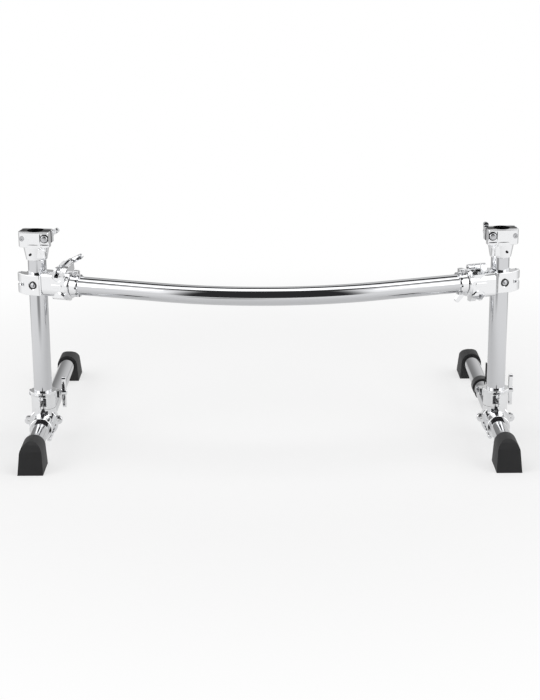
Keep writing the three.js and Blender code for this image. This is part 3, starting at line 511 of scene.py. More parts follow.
leg = leg_rod(leg_radius, leg_start, leg_end)
leg = cut_out(leg, leg_rod(leg_radius - leg_wall, leg_start - overrun, leg_end + overrun))
soften(leg, leg_lip)
for side, word in both_sides:
    settle(leg, f"{word}_leg_tube_fine", f"{word}_leg_tube", f"{word}_t_leg",
           tube_chrome, side_frame(side))
done_with(leg)


# The four feet: black rubber moulded in one piece, pushed over the ends of the leg tubes.
# Each is an arch over the tube that spreads to a broad flat sole, its nose sloped back.
blotch_scale, blotch_tones = 38, (0.82, 1.22)
grain_depth = 0.0004


def rubber_finish(name, colour, roughness, bump, grain):
    finish = bpy.data.materials.new(name)
    finish.use_nodes = True
    tree = finish.node_tree
    fine, broad = finish_noise(tree, grain, 8), finish_noise(tree, blotch_scale, 5)
    blotch = tree.nodes.new("ShaderNodeMix")
    blotch.data_type = "RGBA"
    for name, tone in zip(("A", "B"), blotch_tones):
        blotch.inputs[name].default_value = (*[c * tone for c in colour], 1)
    tree.links.new(broad, blotch.inputs["Factor"])
    tree.links.new(blotch.outputs["Result"], tree.nodes["Principled BSDF"].inputs["Base Color"])
    finish_roughness(tree, fine, (0, 1), roughness)
    finish_bump(tree, fine, bump, grain_depth)
    return finish


foot_rubber = rubber_finish("foot_rubber", (0.0145, 0.0145, 0.0155), (0.5, 0.78), 0.5, 900)
foot_length = 73.4
foot_half = 25.7
foot_waist = 22.8
foot_nose = ((-foot_length, 0), (-60.4, 45), (-50.9, 56.1), (-41.4, 61.2), (-30, 61.7))
foot_round = 1.9
foot_corner = 22
foot_arch_inset = 0.02
foot_on_leg = 40
foot_socket_end = 0.3
tube_slip = 0.3
saw_size = 200
skim = 0.004


def block(low, high):
    bpy.ops.object.select_all(action="DESELECT")
    low, high = Vector(low), Vector(high)
    bpy.ops.mesh.primitive_cube_add(size=1, location=(low + high) / 2, scale=high - low)
    bake()
    return bpy.context.object


def trim(piece, point, normal):
    only(piece)
    mode("EDIT")
    bpy.ops.mesh.select_all(action="SELECT")
    bpy.ops.mesh.bisect(
        plane_co=point, plane_no=normal, use_fill=True, clear_outer=True, threshold=skim
    )
    mode("OBJECT")
    return tidy(piece)


def sawn(piece, point, normal):
    waste = block((-saw_size, -saw_size, 0), (saw_size, saw_size, saw_size))
    turned = Vector(normal).to_track_quat("Z", "Y").to_matrix().to_4x4()
    waste.matrix_world = Matrix.Translation(point) @ turned
    only(waste)
    bake()
    return cut_out(piece, waste)


def select_faces(piece, chosen):
    only(piece)
    mode("EDIT")
    bpy.ops.mesh.select_mode(type="FACE")
    bpy.ops.mesh.select_all(action="DESELECT")
    mode("OBJECT")
    for face in piece.data.polygons:
        face.select = chosen(face.normal)
    mode("EDIT")


foot = block((-foot_waist, -foot_length, 0), (foot_waist, 0, leg_height))
select_faces(foot, lambda normal: normal.z < -0.9)
bpy.ops.transform.resize(value=(foot_half / foot_waist, 1, 1))
mode("OBJECT")
foot = joined(foot, leg_rod(foot_waist - foot_arch_inset, -foot_length, 0))
for (y0, z0), (y1, z1) in zip(foot_nose, foot_nose[1:]):
    sawn(foot, (0, y0, z0), (0, z0 - z1, y1 - y0))
soften(foot, foot_round, 5, foot_corner)
foot = cut_out(foot, leg_rod(leg_radius + tube_slip, -foot_on_leg - foot_socket_end, 2 * overrun))
for side, word in both_sides:
    front = side_frame(side) @ Matrix.Translation((0, leg_start + foot_on_leg, 0))
    rear = side_frame(side) @ Matrix.Translation((0, leg_end - foot_on_leg, 0))
    rear = rear @ Matrix.Rotation(math.pi, 4, "Z")
    for end, place in (("front", front), ("rear", rear)):
        settle(foot, f"{word}_{end}_foot_fine", f"{word}_{end}_foot", f"{word}_t_leg",
               foot_rubber, place)
done_with(foot)


# The leg clamps: zinc castings, polished and chromed. A sleeve slides on the leg tube, and
# a split socket over it takes the upright, hinged at the front and drawn up by a bolt behind.
# The castings' chrome has a lighter base colour than the tubes' (0.86 against 0.64): the same plating, made
# brighter as painted light for how the castings catch the light.
cast_chrome = chrome_finish("cast_chrome", (0.86, 0.865, 0.875), (0.04, 0.11), 0.16, 70, 120)
bolt_steel = chrome_finish("bolt_steel", (0.56, 0.565, 0.58), (0.12, 0.26), 0.03, 60, 260)
boss_sides, pin_sides, hole_sides, slim_sides = 64, 48, 32, 24
drill_past = 2
sleeve_radius = 24
sleeve_front, sleeve_rear = -62, 34
ring_round = 1.6
socket_radius = 25.5
socket_rim = 28
socket_low, socket_high = 70, 107
swell_low, swell_high, lip_low = 97, 102.5, 102
split_at = 5.5
split_gap = 0.6
flange_radius = 31
lobe_front, lobe_back = -18, -9
lobe_height = 44.5
lobe_spread = 31
lobe_radius, lobe_hole = 9, 2.4
lobe_round = 1.4
bridge_round = 1.2
knuckle_x, knuckle_z = 16.5, 17.5
knuckle_radius, knuckle_hole = 5, 1.4
knuckle_starts, knuckle_length = (-61, -35), 14
knuckle_hole_front, knuckle_hole_back = -64, 10
boss_round = 1
leg_pin = (-2.8, -28.5)
leg_pin_radius, leg_pin_slip = 2.6, 0.15
leg_hinge_radius, leg_hinge_gap = 5.2, 0.3
leg_hinge_low, leg_hinge_high = 74, 99
leg_barrel_low, leg_barrel_high = 80, 93
pin_round = 0.6
leg_bolt_y, leg_bolt_z = 28, 93
leg_bolt_radius, leg_bolt_head, leg_bolt_head_length = 3, 7, 5
leg_bolt_tails = {1: 46.6, -1: -41}
bolt_slip, bolt_seat_gap = 0.3, 0.3
thread_round, bolt_head_round = 0.5, 1.2
leg_ear_radius, leg_ear_root, leg_ear_root_half = 8, 10, 7.6
leg_ear_left, leg_ear_right = -28, 33
leg_window_low, leg_window_high = (0.5, -30, 57), (11.5, -18.5, 67)
window_round = 1.5
leg_arm_front, leg_arm_back, leg_arm_side = -33.6, -25.8, 10.4
leg_arm_inset, leg_arm_round = 0.05, 0.8
upright_bore_low = 61.3


def leg_pin_rod(radius, low, high):
    rod_sides = hole_sides if radius < leg_hinge_radius else pin_sides
    return rod(radius, (*leg_pin, low), (*leg_pin, high), sides=rod_sides)


def leg_bolt_rod(radius, start, end, rod_sides):
    start, end = (start, leg_bolt_y, leg_bolt_z), (end, leg_bolt_y, leg_bolt_z)
    return rod(radius, start, end, sides=rod_sides)


def lobe_rod(sign, radius, past, rod_sides):
    x = sign * lobe_spread
    start, end = (x, lobe_front - past, lobe_height), (x, lobe_back + past, lobe_height)
    return rod(radius, start, end, sides=rod_sides)


def knuckle_rod(radius, front, back, rod_sides):
    start, end = (knuckle_x, front, knuckle_z), (knuckle_x, back, knuckle_z)
    return rod(radius, start, end, sides=rod_sides)


def socket_half(keep):
    wall = post_rod(socket_radius, socket_low - overrun, socket_high)
    swell = post_rod(socket_radius, swell_low, swell_high, socket_rim)
    lip = soften(post_rod(socket_rim, lip_low, socket_high), lobe_round, 4)
    ring = joined(wall, swell, lip)
    sawn(ring, (split_at + keep * split_gap / 2, 0, 0), (-keep, 0, 0))
    if keep > 0:
        sawn(ring, (0, 0, socket_low + split_gap), (0, 0, -1))
    return ring


def leg_ear(start, end):
    barrel = leg_bolt_rod(leg_ear_radius, start, end, boss_sides)
    root = block(
        (min(start, end), leg_ear_root, leg_bolt_z - leg_ear_root_half),
        (max(start, end), leg_bolt_y, leg_bolt_z + leg_ear_root_half),
    )
    return joined(soften(barrel, boss_round), soften(root, pin_round))


def socket_drills():
    left, right = leg_ear_left - drill_past, leg_ear_right + drill_past
    return (
        post_rod(tube_radius + tube_slip, upright_bore_low, socket_high + drill_past),
        leg_bolt_rod(leg_bolt_radius + bolt_slip, left, right, hole_sides),
        leg_pin_rod(leg_pin_radius + leg_pin_slip, leg_hinge_low - drill_past, leg_hinge_high + drill_past),
    )


leg_ring_low, leg_ring_high = leg_barrel_low - leg_hinge_gap, leg_barrel_high + leg_hinge_gap
sleeve = soften(leg_rod(sleeve_radius, sleeve_front, sleeve_rear), ring_round, 4)
neck = post_rod(socket_radius, leg_height, socket_low)
flange = soften(leg_rod(flange_radius, lobe_front, lobe_back), ring_round, 4)
bridge = block(
    (-lobe_spread, lobe_front, lobe_height - lobe_radius),
    (lobe_spread, lobe_back, lobe_height + lobe_radius),
)
clamp = joined(
    sleeve,
    neck,
    socket_half(-1),
    leg_ear(leg_ear_left, split_at - split_gap / 2),
    flange,
    soften(bridge, bridge_round),
)
for sign in (-1, 1):
    clamp = joined(clamp, soften(lobe_rod(sign, lobe_radius, 0, boss_sides), lobe_round))
for start in knuckle_starts:
    knuckle = knuckle_rod(knuckle_radius, start, start + knuckle_length, pin_sides)
    clamp = joined(clamp, soften(knuckle, boss_round))
for low, high in ((leg_hinge_low, leg_ring_low), (leg_ring_high, leg_hinge_high)):
    clamp = joined(clamp, soften(leg_pin_rod(leg_hinge_radius, low, high), pin_round))
clamp = cut_out(
    clamp,
    leg_pin_rod(leg_hinge_radius + leg_hinge_gap, leg_ring_low, leg_ring_high),
    leg_rod(leg_radius + tube_slip, sleeve_front - drill_past, sleeve_rear + drill_past),
    *socket_drills(),
    soften(block(leg_window_low, leg_window_high), window_round, 4),
    knuckle_rod(knuckle_hole, knuckle_hole_front, knuckle_hole_back, slim_sides),
    lobe_rod(1, lobe_hole, drill_past, hole_sides),
    lobe_rod(-1, lobe_hole, drill_past, hole_sides),
)
tidy(clamp)

leg_barrel = leg_pin_rod(leg_hinge_radius, leg_barrel_low, leg_barrel_high)
leg_arm = block(
    (leg_pin[0], leg_arm_front, leg_barrel_low + leg_arm_inset),
    (leg_arm_side, leg_arm_back, leg_barrel_high - leg_arm_inset),
)
leg_arm_root = block(
    (split_at + split_gap / 2, leg_arm_front + 2 * leg_arm_inset, leg_barrel_low + 2 * leg_arm_inset),
    (leg_arm_side - 2 * leg_arm_inset, -tube_radius, leg_barrel_high - 2 * leg_arm_inset),
)
leg_jaw = joined(
    socket_half(1),
    leg_ear(split_at + split_gap / 2, leg_ear_right),
    soften(leg_barrel, pin_round),
    soften(leg_arm, leg_arm_round),
    leg_arm_root,
)
leg_jaw = cut_out(leg_jaw, *socket_drills())
tidy(leg_jaw)
leg_hinge = leg_pin_rod(leg_pin_radius, leg_hinge_low - overrun, leg_hinge_high + overrun)
soften(leg_hinge, pin_round)


def leg_bolt_seat(sign):
    return leg_ear_left - bolt_seat_gap if sign > 0 else leg_ear_right + bolt_seat_gap


def leg_bolt(sign):
    head = leg_bolt_seat(sign)
    shank = leg_bolt_rod(leg_bolt_radius, leg_bolt_tails[sign], head - sign * drill_past, hole_sides)
    cap = leg_bolt_rod(leg_bolt_head, head, head - sign * leg_bolt_head_length, pin_sides)
    return joined(soften(shank, thread_round), soften(cap, bolt_head_round))


nut_hub, nut_hub_top, nut_length, nut_hub_round = 7, 6.2, 13, 1.3
nut_rim, nut_rim_length, nut_rim_round = 8.2, 3, 0.8
wing_start, wing_end, wing_half, wing_round = 3.4, 10.8, 5, 2.2
nut_hole = 3.3
leg_nut_span = 68


def wing_nut(span, turn):
    tip = span / 2 - wing_half
    hub = rod(nut_hub, (0, 0, 0), (nut_length, 0, 0), nut_hub_top, sides=boss_sides)
    rim = rod(nut_rim, (0, 0, 0), (nut_rim_length, 0, 0), sides=boss_sides)
    nut = joined(soften(hub, nut_hub_round, 4), soften(rim, nut_rim_round))
    for half_turn in (math.pi, 0):
        web = block((wing_start, -wing_half, 0), (wing_end, wing_half, tip))
        wing = joined(web, rod(wing_half, (wing_start, 0, tip), (wing_end, 0, tip), sides=boss_sides))
        soften(wing, wing_round, 5)
        nut = joined(nut, spun(wing, half_turn))
    drill = rod(nut_hole, (-drill_past, 0, 0), (nut_length + drill_past, 0, 0), sides=hole_sides)
    nut = cut_out(nut, drill)
    return tidy(spun(nut, math.radians(turn)))


leg_nut = wing_nut(leg_nut_span, 0)
for side, word in both_sides:
    here, leg_body = side_frame(side), f"{word}_t_leg"
    for piece, part, slot, finish in (
        (clamp, "leg_clamp_body", "chrome_casting", cast_chrome),
        (leg_jaw, "leg_clamp_jaw", "chrome_casting", cast_chrome),
        (leg_hinge, "leg_clamp_hinge_pin", "steel_hardware", bolt_steel),
    ):
        settle(piece, f"{word}_{part}_fine", f"{word}_{part}", leg_body, finish, here)
    bolt = leg_bolt(-side)
    settle(bolt, f"{word}_leg_clamp_bolt_fine", f"{word}_leg_clamp_bolt", leg_body,
           bolt_steel, here)
    seat = here @ Matrix.Translation((leg_bolt_seat(side), leg_bolt_y, leg_bolt_z))
    if side > 0:
        seat = seat @ Matrix.Rotation(math.pi, 4, "Z")
    settle(leg_nut, f"{word}_leg_clamp_wing_nut_fine", f"{word}_leg_clamp_wing_nut",
           f"{word}_leg_nut", cast_chrome, seat)
    done_with(bolt)
done_with(clamp, leg_jaw, leg_hinge, leg_nut)


# The T-clamps: chromed zinc castings, the right one turned over, that join the bar to the
# uprights by a shell with a hinged rear jaw round the bar and a split collar beside it.
# Here x runs along the bar from the upright's middle, and a box is given as two corners.
shell_start, shell_end = 21, 74
shell_front, shell_top, shell_bottom = -27, 29, -25
shell_top_round, shell_bottom_round, shell_round = 10, 20, 0.8
disc_radius, disc_end = 28, 80
parting_slope, parting_gap = 9, 0.25
hinge_y, hinge_z = 9, -29.6
hinge_barrel, hinge_gap, hinge_round = 6.4, 0.3, 0.7
hinge_lugs = ((30, 43.13), (56.87, 70))
hinge_pin_radius, hinge_pin_slip = 2.2, 0.15
swing_x, swing_y, swing_z = 57, -12, 28
swing_tilts = {-1: math.radians(12), 1: math.radians(-4)}
swing_slot = (52.5, -34, 19.8), (61.5, 4, 40)
pad_x, pad_half, pad_proud, pad_round = 60.5, 13.6, 2.6, 1.4
pad_middle, pad_tops = 27, {1: 37, -1: hinge_z}
pad_front, pad_back, pad_crease, pad_lean = -40, -3, 22, -11.4
groove_width, groove_depth, groove_proud = 2.3, 4.5, 3.5
plaque_box = (42, -28, -3.5), (68, -25, 4.5)
plaque_corner, plaque_round = 3.4, 0.6
collar_radius, collar_half, collar_round = 24.5, 21.5, 1.2
collar_cheek = (10, -2, -collar_half), (28, 19, collar_half)
outer_pin, outer_pin_radius, outer_pin_slip = (-33, -8), 2.5, 0.15
outer_web = (-33, -8, -3.1), (-19.1, 6, 3.1)
cut_reach = 60
edge_reach = 0.1
collar_rear_room = (-cut_reach, -cut_reach, -cut_reach), (0, -2, cut_reach)
collar_shell_room = (-overrun, -cut_reach, -cut_reach), (shell_start, -12.6, cut_reach)


def clamp_frame(side):
    frame = Matrix.Translation((side * upright_x, upright_y, bar_height))
    frame = frame @ Matrix.Rotation(side * bar_yaw, 4, "Z")
    return frame @ Matrix.Rotation(math.pi, 4, "Y") if side > 0 else frame


def carved(axis, start, end, outline):
    where = {"x": (1, 2, 0), "y": (0, 2, 1), "z": (0, 1, 2)}[axis]

    def point(u, v, along):
        spot = [0, 0, 0]
        for slot, value in zip(where, (u, v, along)):
            spot[slot] = value
        return Vector(spot)

    us, vs = [p[0] for p in outline], [p[1] for p in outline]
    low = point(min(us) - overrun, min(vs) - overrun, start)
    high = point(max(us) + overrun, max(vs) + overrun, end)
    piece = block(low, high)
    middle = (sum(us) / len(us), sum(vs) / len(vs))
    for (u0, v0), (u1, v1) in zip(outline, outline[1:] + outline[:1]):
        across = (v1 - v0, u0 - u1)
        if across[0] * (u0 - middle[0]) + across[1] * (v0 - middle[1]) < 0:
            across = (-across[0], -across[1])
        trim(piece, point(u0, v0, start), point(*across, 0).normalized())
    return piece


def round_edges(piece, chosen, width, steps):
    only(piece)
    mode("EDIT")
    bpy.ops.mesh.select_mode(type="EDGE")
    bpy.ops.mesh.select_all(action="DESELECT")
    mode("OBJECT")
    corners = piece.data.vertices
    for edge in piece.data.edges:
        edge.select = all(chosen(corners[i].co) for i in edge.vertices)
    mode("EDIT")
    bpy.ops.mesh.bevel(offset=width, segments=steps, profile=0.5, affect="EDGES")
    mode("OBJECT")
    return piece


def behind_parting(offset):
    rear = block((0, offset, -cut_reach), (2 * cut_reach, cut_reach, cut_reach))
    parting = Vector((0, -2 * tube_radius, -parting_slope))
    return trim(rear, (0, offset, tube_radius), parting.normalized())


def end_disc():
    return soften(rod(disc_radius, (shell_end - overrun, 0, 0), (disc_end, 0, 0)), ring_round, 4)


def hinge_rod(radius, start, end, rod_sides):
    return rod(radius, (start, hinge_y, hinge_z), (end, hinge_y, hinge_z), sides=rod_sides)


def hinge_drill():
    return hinge_rod(hinge_pin_radius + hinge_pin_slip, 28, 72, hole_sides)


def swing_rod(radius, half, rod_sides):
    start, end = (swing_x - half, swing_y, swing_z), (swing_x + half, swing_y, swing_z)
    return rod(radius, start, end, sides=rod_sides)


def outer_rod(radius, half, rod_sides):
    return rod(radius, (*outer_pin, -half), (*outer_pin, half), sides=rod_sides)


def outer_drill(half):
    return outer_rod(outer_pin_radius + outer_pin_slip, half, hole_sides)


def bar_passage():
    return rod(tube_radius + tube_slip, (27.7, 0, 0), (84, 0, 0))


def u_pad(sign, half, proud):
    top, middle = pad_tops[sign], sign * pad_middle
    pad = rod(half, (pad_x, pad_front, middle), (pad_x, pad_back, middle))
    low, high = min(middle, top), max(middle, top)
    pad = joined(pad, block((pad_x - half, pad_front, low), (pad_x + half, pad_back, high)))
    front = shell_front - proud
    face = carved("x", pad_x - half, pad_x + half, [
        (front, 0), (front, sign * pad_crease), (pad_lean - proud, top), (pad_back, top), (pad_back, 0),
    ])
    return combine(pad, (face,), "INTERSECT")


shell = block((shell_start, shell_front, shell_bottom), (shell_end, hinge_y, shell_top))
at_top = lambda c: c.y < shell_front + edge_reach and c.z > shell_top - edge_reach
at_bottom = lambda c: c.y < shell_front + edge_reach and c.z < shell_bottom + edge_reach
round_edges(shell, at_top, shell_top_round, 12)
round_edges(shell, at_bottom, shell_bottom_round, 16)
soften(shell, shell_round)
shell = joined(shell, end_disc())
for sign in (1, -1):
    groove = u_pad(sign, pad_half + groove_width, groove_proud)
    deeper = (0, shell_front + groove_depth, -cut_reach), (2 * cut_reach, cut_reach, cut_reach)
    groove = cut_out(groove, block(*deeper))
    shell = cut_out(shell, groove)
    shell = joined(shell, soften(u_pad(sign, pad_half, pad_proud), pad_round))
plaque = block(*plaque_box)
for x in (plaque_box[0][0], plaque_box[1][0]):
    for z in (plaque_box[0][2], plaque_box[1][2]):
        at_corner = lambda c: abs(c.x - x) < edge_reach and abs(c.z - z) < edge_reach
        round_edges(plaque, at_corner, plaque_corner, 10)
shell = joined(shell, soften(plaque, plaque_round))
for start, end in hinge_lugs:
    lug_low, lug_high = (start, hinge_y - hinge_barrel, hinge_z), (end, hinge_y, shell_bottom + overrun)
    shell = joined(shell, block(lug_low, lug_high))
shell = cut_out(shell, behind_parting(-parting_gap))
collar = soften(post_rod(collar_radius, -collar_half, collar_half), collar_round)
collar = joined(collar, soften(block(*collar_cheek), boss_round))
collar = cut_out(collar, block(*collar_rear_room), block(*collar_shell_room))
t_body = joined(collar, shell, soften(outer_rod(6, 3.2, pin_sides), thread_round), block(*outer_web))
for start, end in hinge_lugs:
    t_body = joined(t_body, soften(hinge_rod(hinge_barrel, start, end, boss_sides), hinge_round))
t_body = cut_out(
    t_body,
    hinge_rod(hinge_barrel + hinge_gap, 43, 57, pin_sides),
    soften(block(*swing_slot), pin_round),
    swing_rod(2.15, 11.3, hole_sides),
    outer_drill(23),
    hinge_drill(),
    post_rod(tube_radius + tube_slip, -30, 40),
    bar_passage(),
)
tidy(t_body)

jaw_radius, jaw_start = 24.5, 28.3
jaw_ear_half, jaw_ear_deep, jaw_ear_proud = 12, 11, 5.5
jaw_ear_seat, jaw_ear_crown = 44, 20
jaw_lug = (43.5, hinge_y, hinge_z), (56.5, 15.4, -20)
jaw_slot = (53.5, -cut_reach, 21.2), (60.5, cut_reach, cut_reach)
swing_length, swing_nut_at = 59, 44.5
swing_nut_span, swing_nut_turns = 68, {-1: 61, 1: 40}


def swing_point(distance, tilt):
    return (swing_y + distance * math.cos(tilt), swing_z + distance * math.sin(tilt))


def bar_jaw(tilt):
    jaw = joined(rod(jaw_radius, (jaw_start, 0, 0), (shell_end, 0, 0)), end_disc())
    (seat_y, seat_z), (crown_y, crown_z) = swing_point(jaw_ear_seat, tilt), swing_point(jaw_ear_crown, tilt)
    slope_y, slope_z = math.sin(tilt), math.cos(tilt)
    ear = carved("x", swing_x - jaw_ear_half, swing_x + jaw_ear_half, [
        (0, tube_radius),
        (tube_radius, jaw_ear_deep),
        (seat_y + jaw_ear_deep * slope_y, seat_z - jaw_ear_deep * slope_z),
        (seat_y - jaw_ear_proud * slope_y, seat_z + jaw_ear_proud * slope_z),
        (crown_y - jaw_ear_proud * slope_y, crown_z + jaw_ear_proud * slope_z),
        (0, shell_top),
    ])
    jaw = joined(jaw, soften(ear, bridge_round), block(*jaw_lug))
    jaw = combine(jaw, (behind_parting(parting_gap),), "INTERSECT")
    barrel = hinge_rod(hinge_barrel, jaw_lug[0][0], jaw_lug[1][0], boss_sides)
    jaw = joined(jaw, soften(barrel, pin_round))
    jaw = cut_out(
        jaw,
        hinge_rod(hinge_barrel + hinge_gap, 29.6, 43.3, pin_sides),
        hinge_rod(hinge_barrel + hinge_gap, 56.7, 70.4, pin_sides),
        block(*jaw_slot),
        hinge_drill(),
        bar_passage(),
    )
    return tidy(jaw)


def swing_bolt(tilt):
    eye, pin = soften(swing_rod(6, 4, pin_sides), boss_round), swing_rod(2, 11, hole_sides)
    tail = (swing_x, *swing_point(swing_length, tilt))
    shaft = rod(3.2, (swing_x, swing_y, swing_z), tail, sides=hole_sides)
    return tidy(joined(eye, pin, soften(shaft, hinge_round)))


def swing_nut_seat(tilt):
    along = Vector((0, math.cos(tilt), math.sin(tilt)))
    side = Vector((1, 0, 0))
    seat = Matrix((along, side, along.cross(side))).transposed().to_4x4()
    return Matrix.Translation((swing_x, *swing_point(swing_nut_at, tilt))) @ seat


bar_hinge = soften(hinge_rod(hinge_pin_radius, 29, 72.5, hole_sides), pin_round)
collar_pin = soften(outer_rod(outer_pin_radius, 22.5, hole_sides), pin_round)
collar_jaw_outline = [
    (-33, -2.4), (-40, -8), (-37, -16), (-24.5, -24.5),
    (-12.25, -30), (17.4, -30), (20.6, -27), (20.6, -2.4),
]
collar_jaw_corner = 20
collar_lug_radius, collar_lug_half = 8, 20.5
collar_gap = 0.3
past = 40
collar_recess = (0, -12.97, -past), (past, 10, past)
collar_fork = (-cut_reach, -cut_reach, -3.5), (-18.05, cut_reach, 3.5)
collar_behind = (-cut_reach, -2.4, -cut_reach), (0, cut_reach, cut_reach)
key_x, key_front, key_end = 3, -34, -28
key_stud = (0.3, -33.7, -2.7), (5.7, key_end, 2.7)
key_head_radius, key_head_round, washer_radius = 5.6, 0.8, 8.3


def key_rod(radius, front, back, rod_sides):
    return rod(radius, (key_x, front, 0), (key_x, back, 0), sides=rod_sides)


collar_jaw = carved("z", -collar_half, collar_half, collar_jaw_outline)
soften(collar_jaw, collar_round, 3, collar_jaw_corner)
collar_lug = soften(outer_rod(collar_lug_radius, collar_lug_half, boss_sides), boss_round)
collar_jaw = joined(collar_jaw, collar_lug)
collar_room = post_rod(collar_radius + collar_gap, -past, past)
collar_jaw = cut_out(
    collar_jaw,
    block(*collar_recess),
    block(*collar_fork),
    combine(collar_room, (block(*collar_behind),), "INTERSECT"),
    key_rod(9.4, key_front, -27, boss_sides),
    key_rod(3.3, key_front, 0, hole_sides),
    outer_drill(past),
    post_rod(tube_radius + tube_slip, -past, past),
)
tidy(collar_jaw)
key_screw = joined(
    key_rod(3, key_end, -19.4, hole_sides),
    soften(key_rod(key_head_radius, -30.3, -27.4, pin_sides), key_head_round),
    soften(block(*key_stud), pin_round),
)
tidy(key_screw)
# The washer under the key screw's head is black nylon: a real washer, its black painted shade that stands
# for the shadow in its recess.
key_washer_shade = soften(key_rod(washer_radius, -29.2, -27.3, boss_sides), pin_round)
key_washer_shade = cut_out(key_washer_shade, key_rod(key_head_radius + 0.05, -31, -26, pin_sides))
tidy(key_washer_shade)
nylon_black = rubber_finish("nylon_black", (0.012, 0.012, 0.013), (0.3, 0.45), 0.2, 700)
for side, word in both_sides:
    place, tilt = clamp_frame(side), swing_tilts[side]
    jaw, bolt = bar_jaw(tilt), swing_bolt(tilt)
    nut = wing_nut(swing_nut_span, swing_nut_turns[side])
    for piece, part, body, slot, finish in (
        (t_body, "t_clamp_body", "bar_and_t_clamps", "chrome_casting", cast_chrome),
        (jaw, "t_clamp_bar_jaw", "bar_and_t_clamps", "chrome_casting", cast_chrome),
        (collar_jaw, "t_clamp_collar_jaw", "bar_and_t_clamps", "chrome_casting", cast_chrome),
        (bar_hinge, "t_clamp_bar_hinge_pin", "bar_and_t_clamps", "steel_hardware", bolt_steel),
        (collar_pin, "t_clamp_collar_pin", "bar_and_t_clamps", "steel_hardware", bolt_steel),
        (bolt, "t_clamp_swing_bolt", f"{word}_swing_bolt", "steel_hardware", bolt_steel),
        (key_screw, "t_clamp_key_screw", f"{word}_key_screw", "steel_hardware", bolt_steel),
    ):
        settle(piece, f"{word}_{part}_fine", f"{word}_{part}", body, finish, place)
    settle(nut, f"{word}_t_clamp_wing_nut_fine", f"{word}_t_clamp_wing_nut", f"{word}_swing_nut",
           cast_chrome, place @ swing_nut_seat(tilt))
    settle(key_washer_shade, f"{word}_key_screw_washer_shade", None, f"{word}_key_screw",
           nylon_black, place)
    done_with(jaw, bolt, nut)
done_with(t_body, bar_hinge, collar_pin, collar_jaw, key_screw, key_washer_shade)


# The memory locks: split rings of chromed zinc, notched on the side of the bar, that stay
# on it beside each T-clamp and find its place again. A small screw draws each one tight.
lock_start, lock_end = 80.5, 97
lock_radius, lock_bore_start, lock_bore_end = 23.4, 78.5, 99
lock_ear = (83.25, -7, 19.05), (94.25, 7, 31)
lock_slot = (lock_bore_start, -0.8, 0), (lock_bore_end, 0.8, 34)
notch_box = (93.8, -2.5, -32), (100, 2.5, -19)
notches = 10
lock_screw_x, lock_screw_z = (lock_start + lock_end) / 2, 26.4
lock_screw_seat = -7.3


def lock_rod(radius, front, back, rod_sides):
    start, end = (lock_screw_x, front, lock_screw_z), (lock_screw_x, back, lock_screw_z)
    return rod(radius, start, end, sides=rod_sides)


lock = soften(rod(lock_radius, (lock_start, 0, 0), (lock_end, 0, 0)), boss_round, 4)
lock = joined(lock, soften(block(*lock_ear), bridge_round, 4))
for notch in range(notches):
    notch_turn = math.radians((notch + 0.5) * 360 / notches)
    lock = cut_out(lock, spun(block(*notch_box), notch_turn))
lock = cut_out(
    lock,
    block(*lock_slot),
    lock_rod(2.3, -30, 30, hole_sides),
    rod(tube_radius + tube_slip, (lock_bore_start, 0, 0), (lock_bore_end, 0, 0)),
)
tidy(lock)
lock_screw = joined(
    lock_rod(2, lock_screw_seat, 7, hole_sides),
    soften(lock_rod(3.6, -13.3, lock_screw_seat, pin_sides), hinge_round),
)
tidy(lock_screw)
for side, word in both_sides:
    place = Matrix.Translation((side * upright_x, upright_y, bar_height))
    place = place @ Matrix.Rotation(side * bar_yaw, 4, "Z") @ Matrix.Diagonal((-side, 1, 1, 1))
    settle(lock, f"{word}_memory_lock_fine", f"{word}_memory_lock", "bar_and_t_clamps",
           cast_chrome, place)
    settle(lock_screw, f"{word}_memory_lock_screw_fine", f"{word}_memory_lock_screw",
           f"{word}_lock_screw", bolt_steel, place)
done_with(lock, lock_screw)


# The accessory clamps on top of the uprights: a chromed socket under two jaws, closed by a
# bolt and wing nut on one side and rocking on a small screw at the other, lined in black.
accessory_turn = math.radians(-8)
jaw_low, jaw_high, jaw_round, jaw_corner = 425, 450.5, 1.3, 20
front_jaw_outline = [(-33, -4.8), (-33, -14), (-28, -24), (30.5, -24), (33, -21.5), (33, -4.8)]
rear_jaw_outline = [(-33, 4.8), (33, 4.8), (33, 16), (28, 21), (-28, 21), (-33, 16)]
cup_low, cup_high, cup_radius, cup_mouth = 390.5, 419.4, 21.6, 27
arch_x, arch_z, arch_radius = 13.5, 406.6, 10.4
arch_front, arch_back = -25, -4
bolt_in, bolt_up = 23.4, 437.5
bolt_window = (14.2, -30, 424), (32.6, -21, 447.5)
set_x, set_z = -7, 404
liner_radius, liner_bore, liner_slip, liner_split = 17.6, 14.6, 0.3, 1.2
liner_top, past_top = 451.2, 455
# Sizes of the liners' black ears in the gap between the jaws and their thin plates over the jaw tops:
# painted shade, the gap's shadow.
seam, gap_shade_back, gap_top_shade_back = 1.25, 4.75, 10
gap_shade_low, gap_shade_high, gap_top_shade_low, gap_top_shade_high = 425.5, 450.2, 449.8, 451.1
gap_shade_in, gap_shade_out, gap_top_shade_out, gap_top_shade_round = 15, 32.4, 30, 0.3
bolt_end, bolt_face, fulcrum_face = 34.6, -21.3, -21.9
top_nut_at, top_nut_span, top_nut_turns = 21.3, 40, {-1: 60, 1: 6}


def cross_rod(radius, x, front, back, rod_sides, end_radius=None):
    return rod(radius, (x, front, bolt_up), (x, back, bolt_up), end_radius, sides=rod_sides)


def set_rod(radius, front, back, rod_sides):
    return rod(radius, (set_x, front, set_z), (set_x, back, set_z), sides=rod_sides)


def bolt_holes():
    return cross_rod(3.2, bolt_in, -30, 30, hole_sides), cross_rod(2.7, -bolt_in, -30, 30, hole_sides)


def beside(sign, keep, outer, back, low, high):
    low_x, high_x = sorted((sign * gap_shade_in, sign * outer))
    low_y, high_y = sorted((keep * seam, keep * back))
    return block((low_x, low_y, low), (high_x, high_y, high))


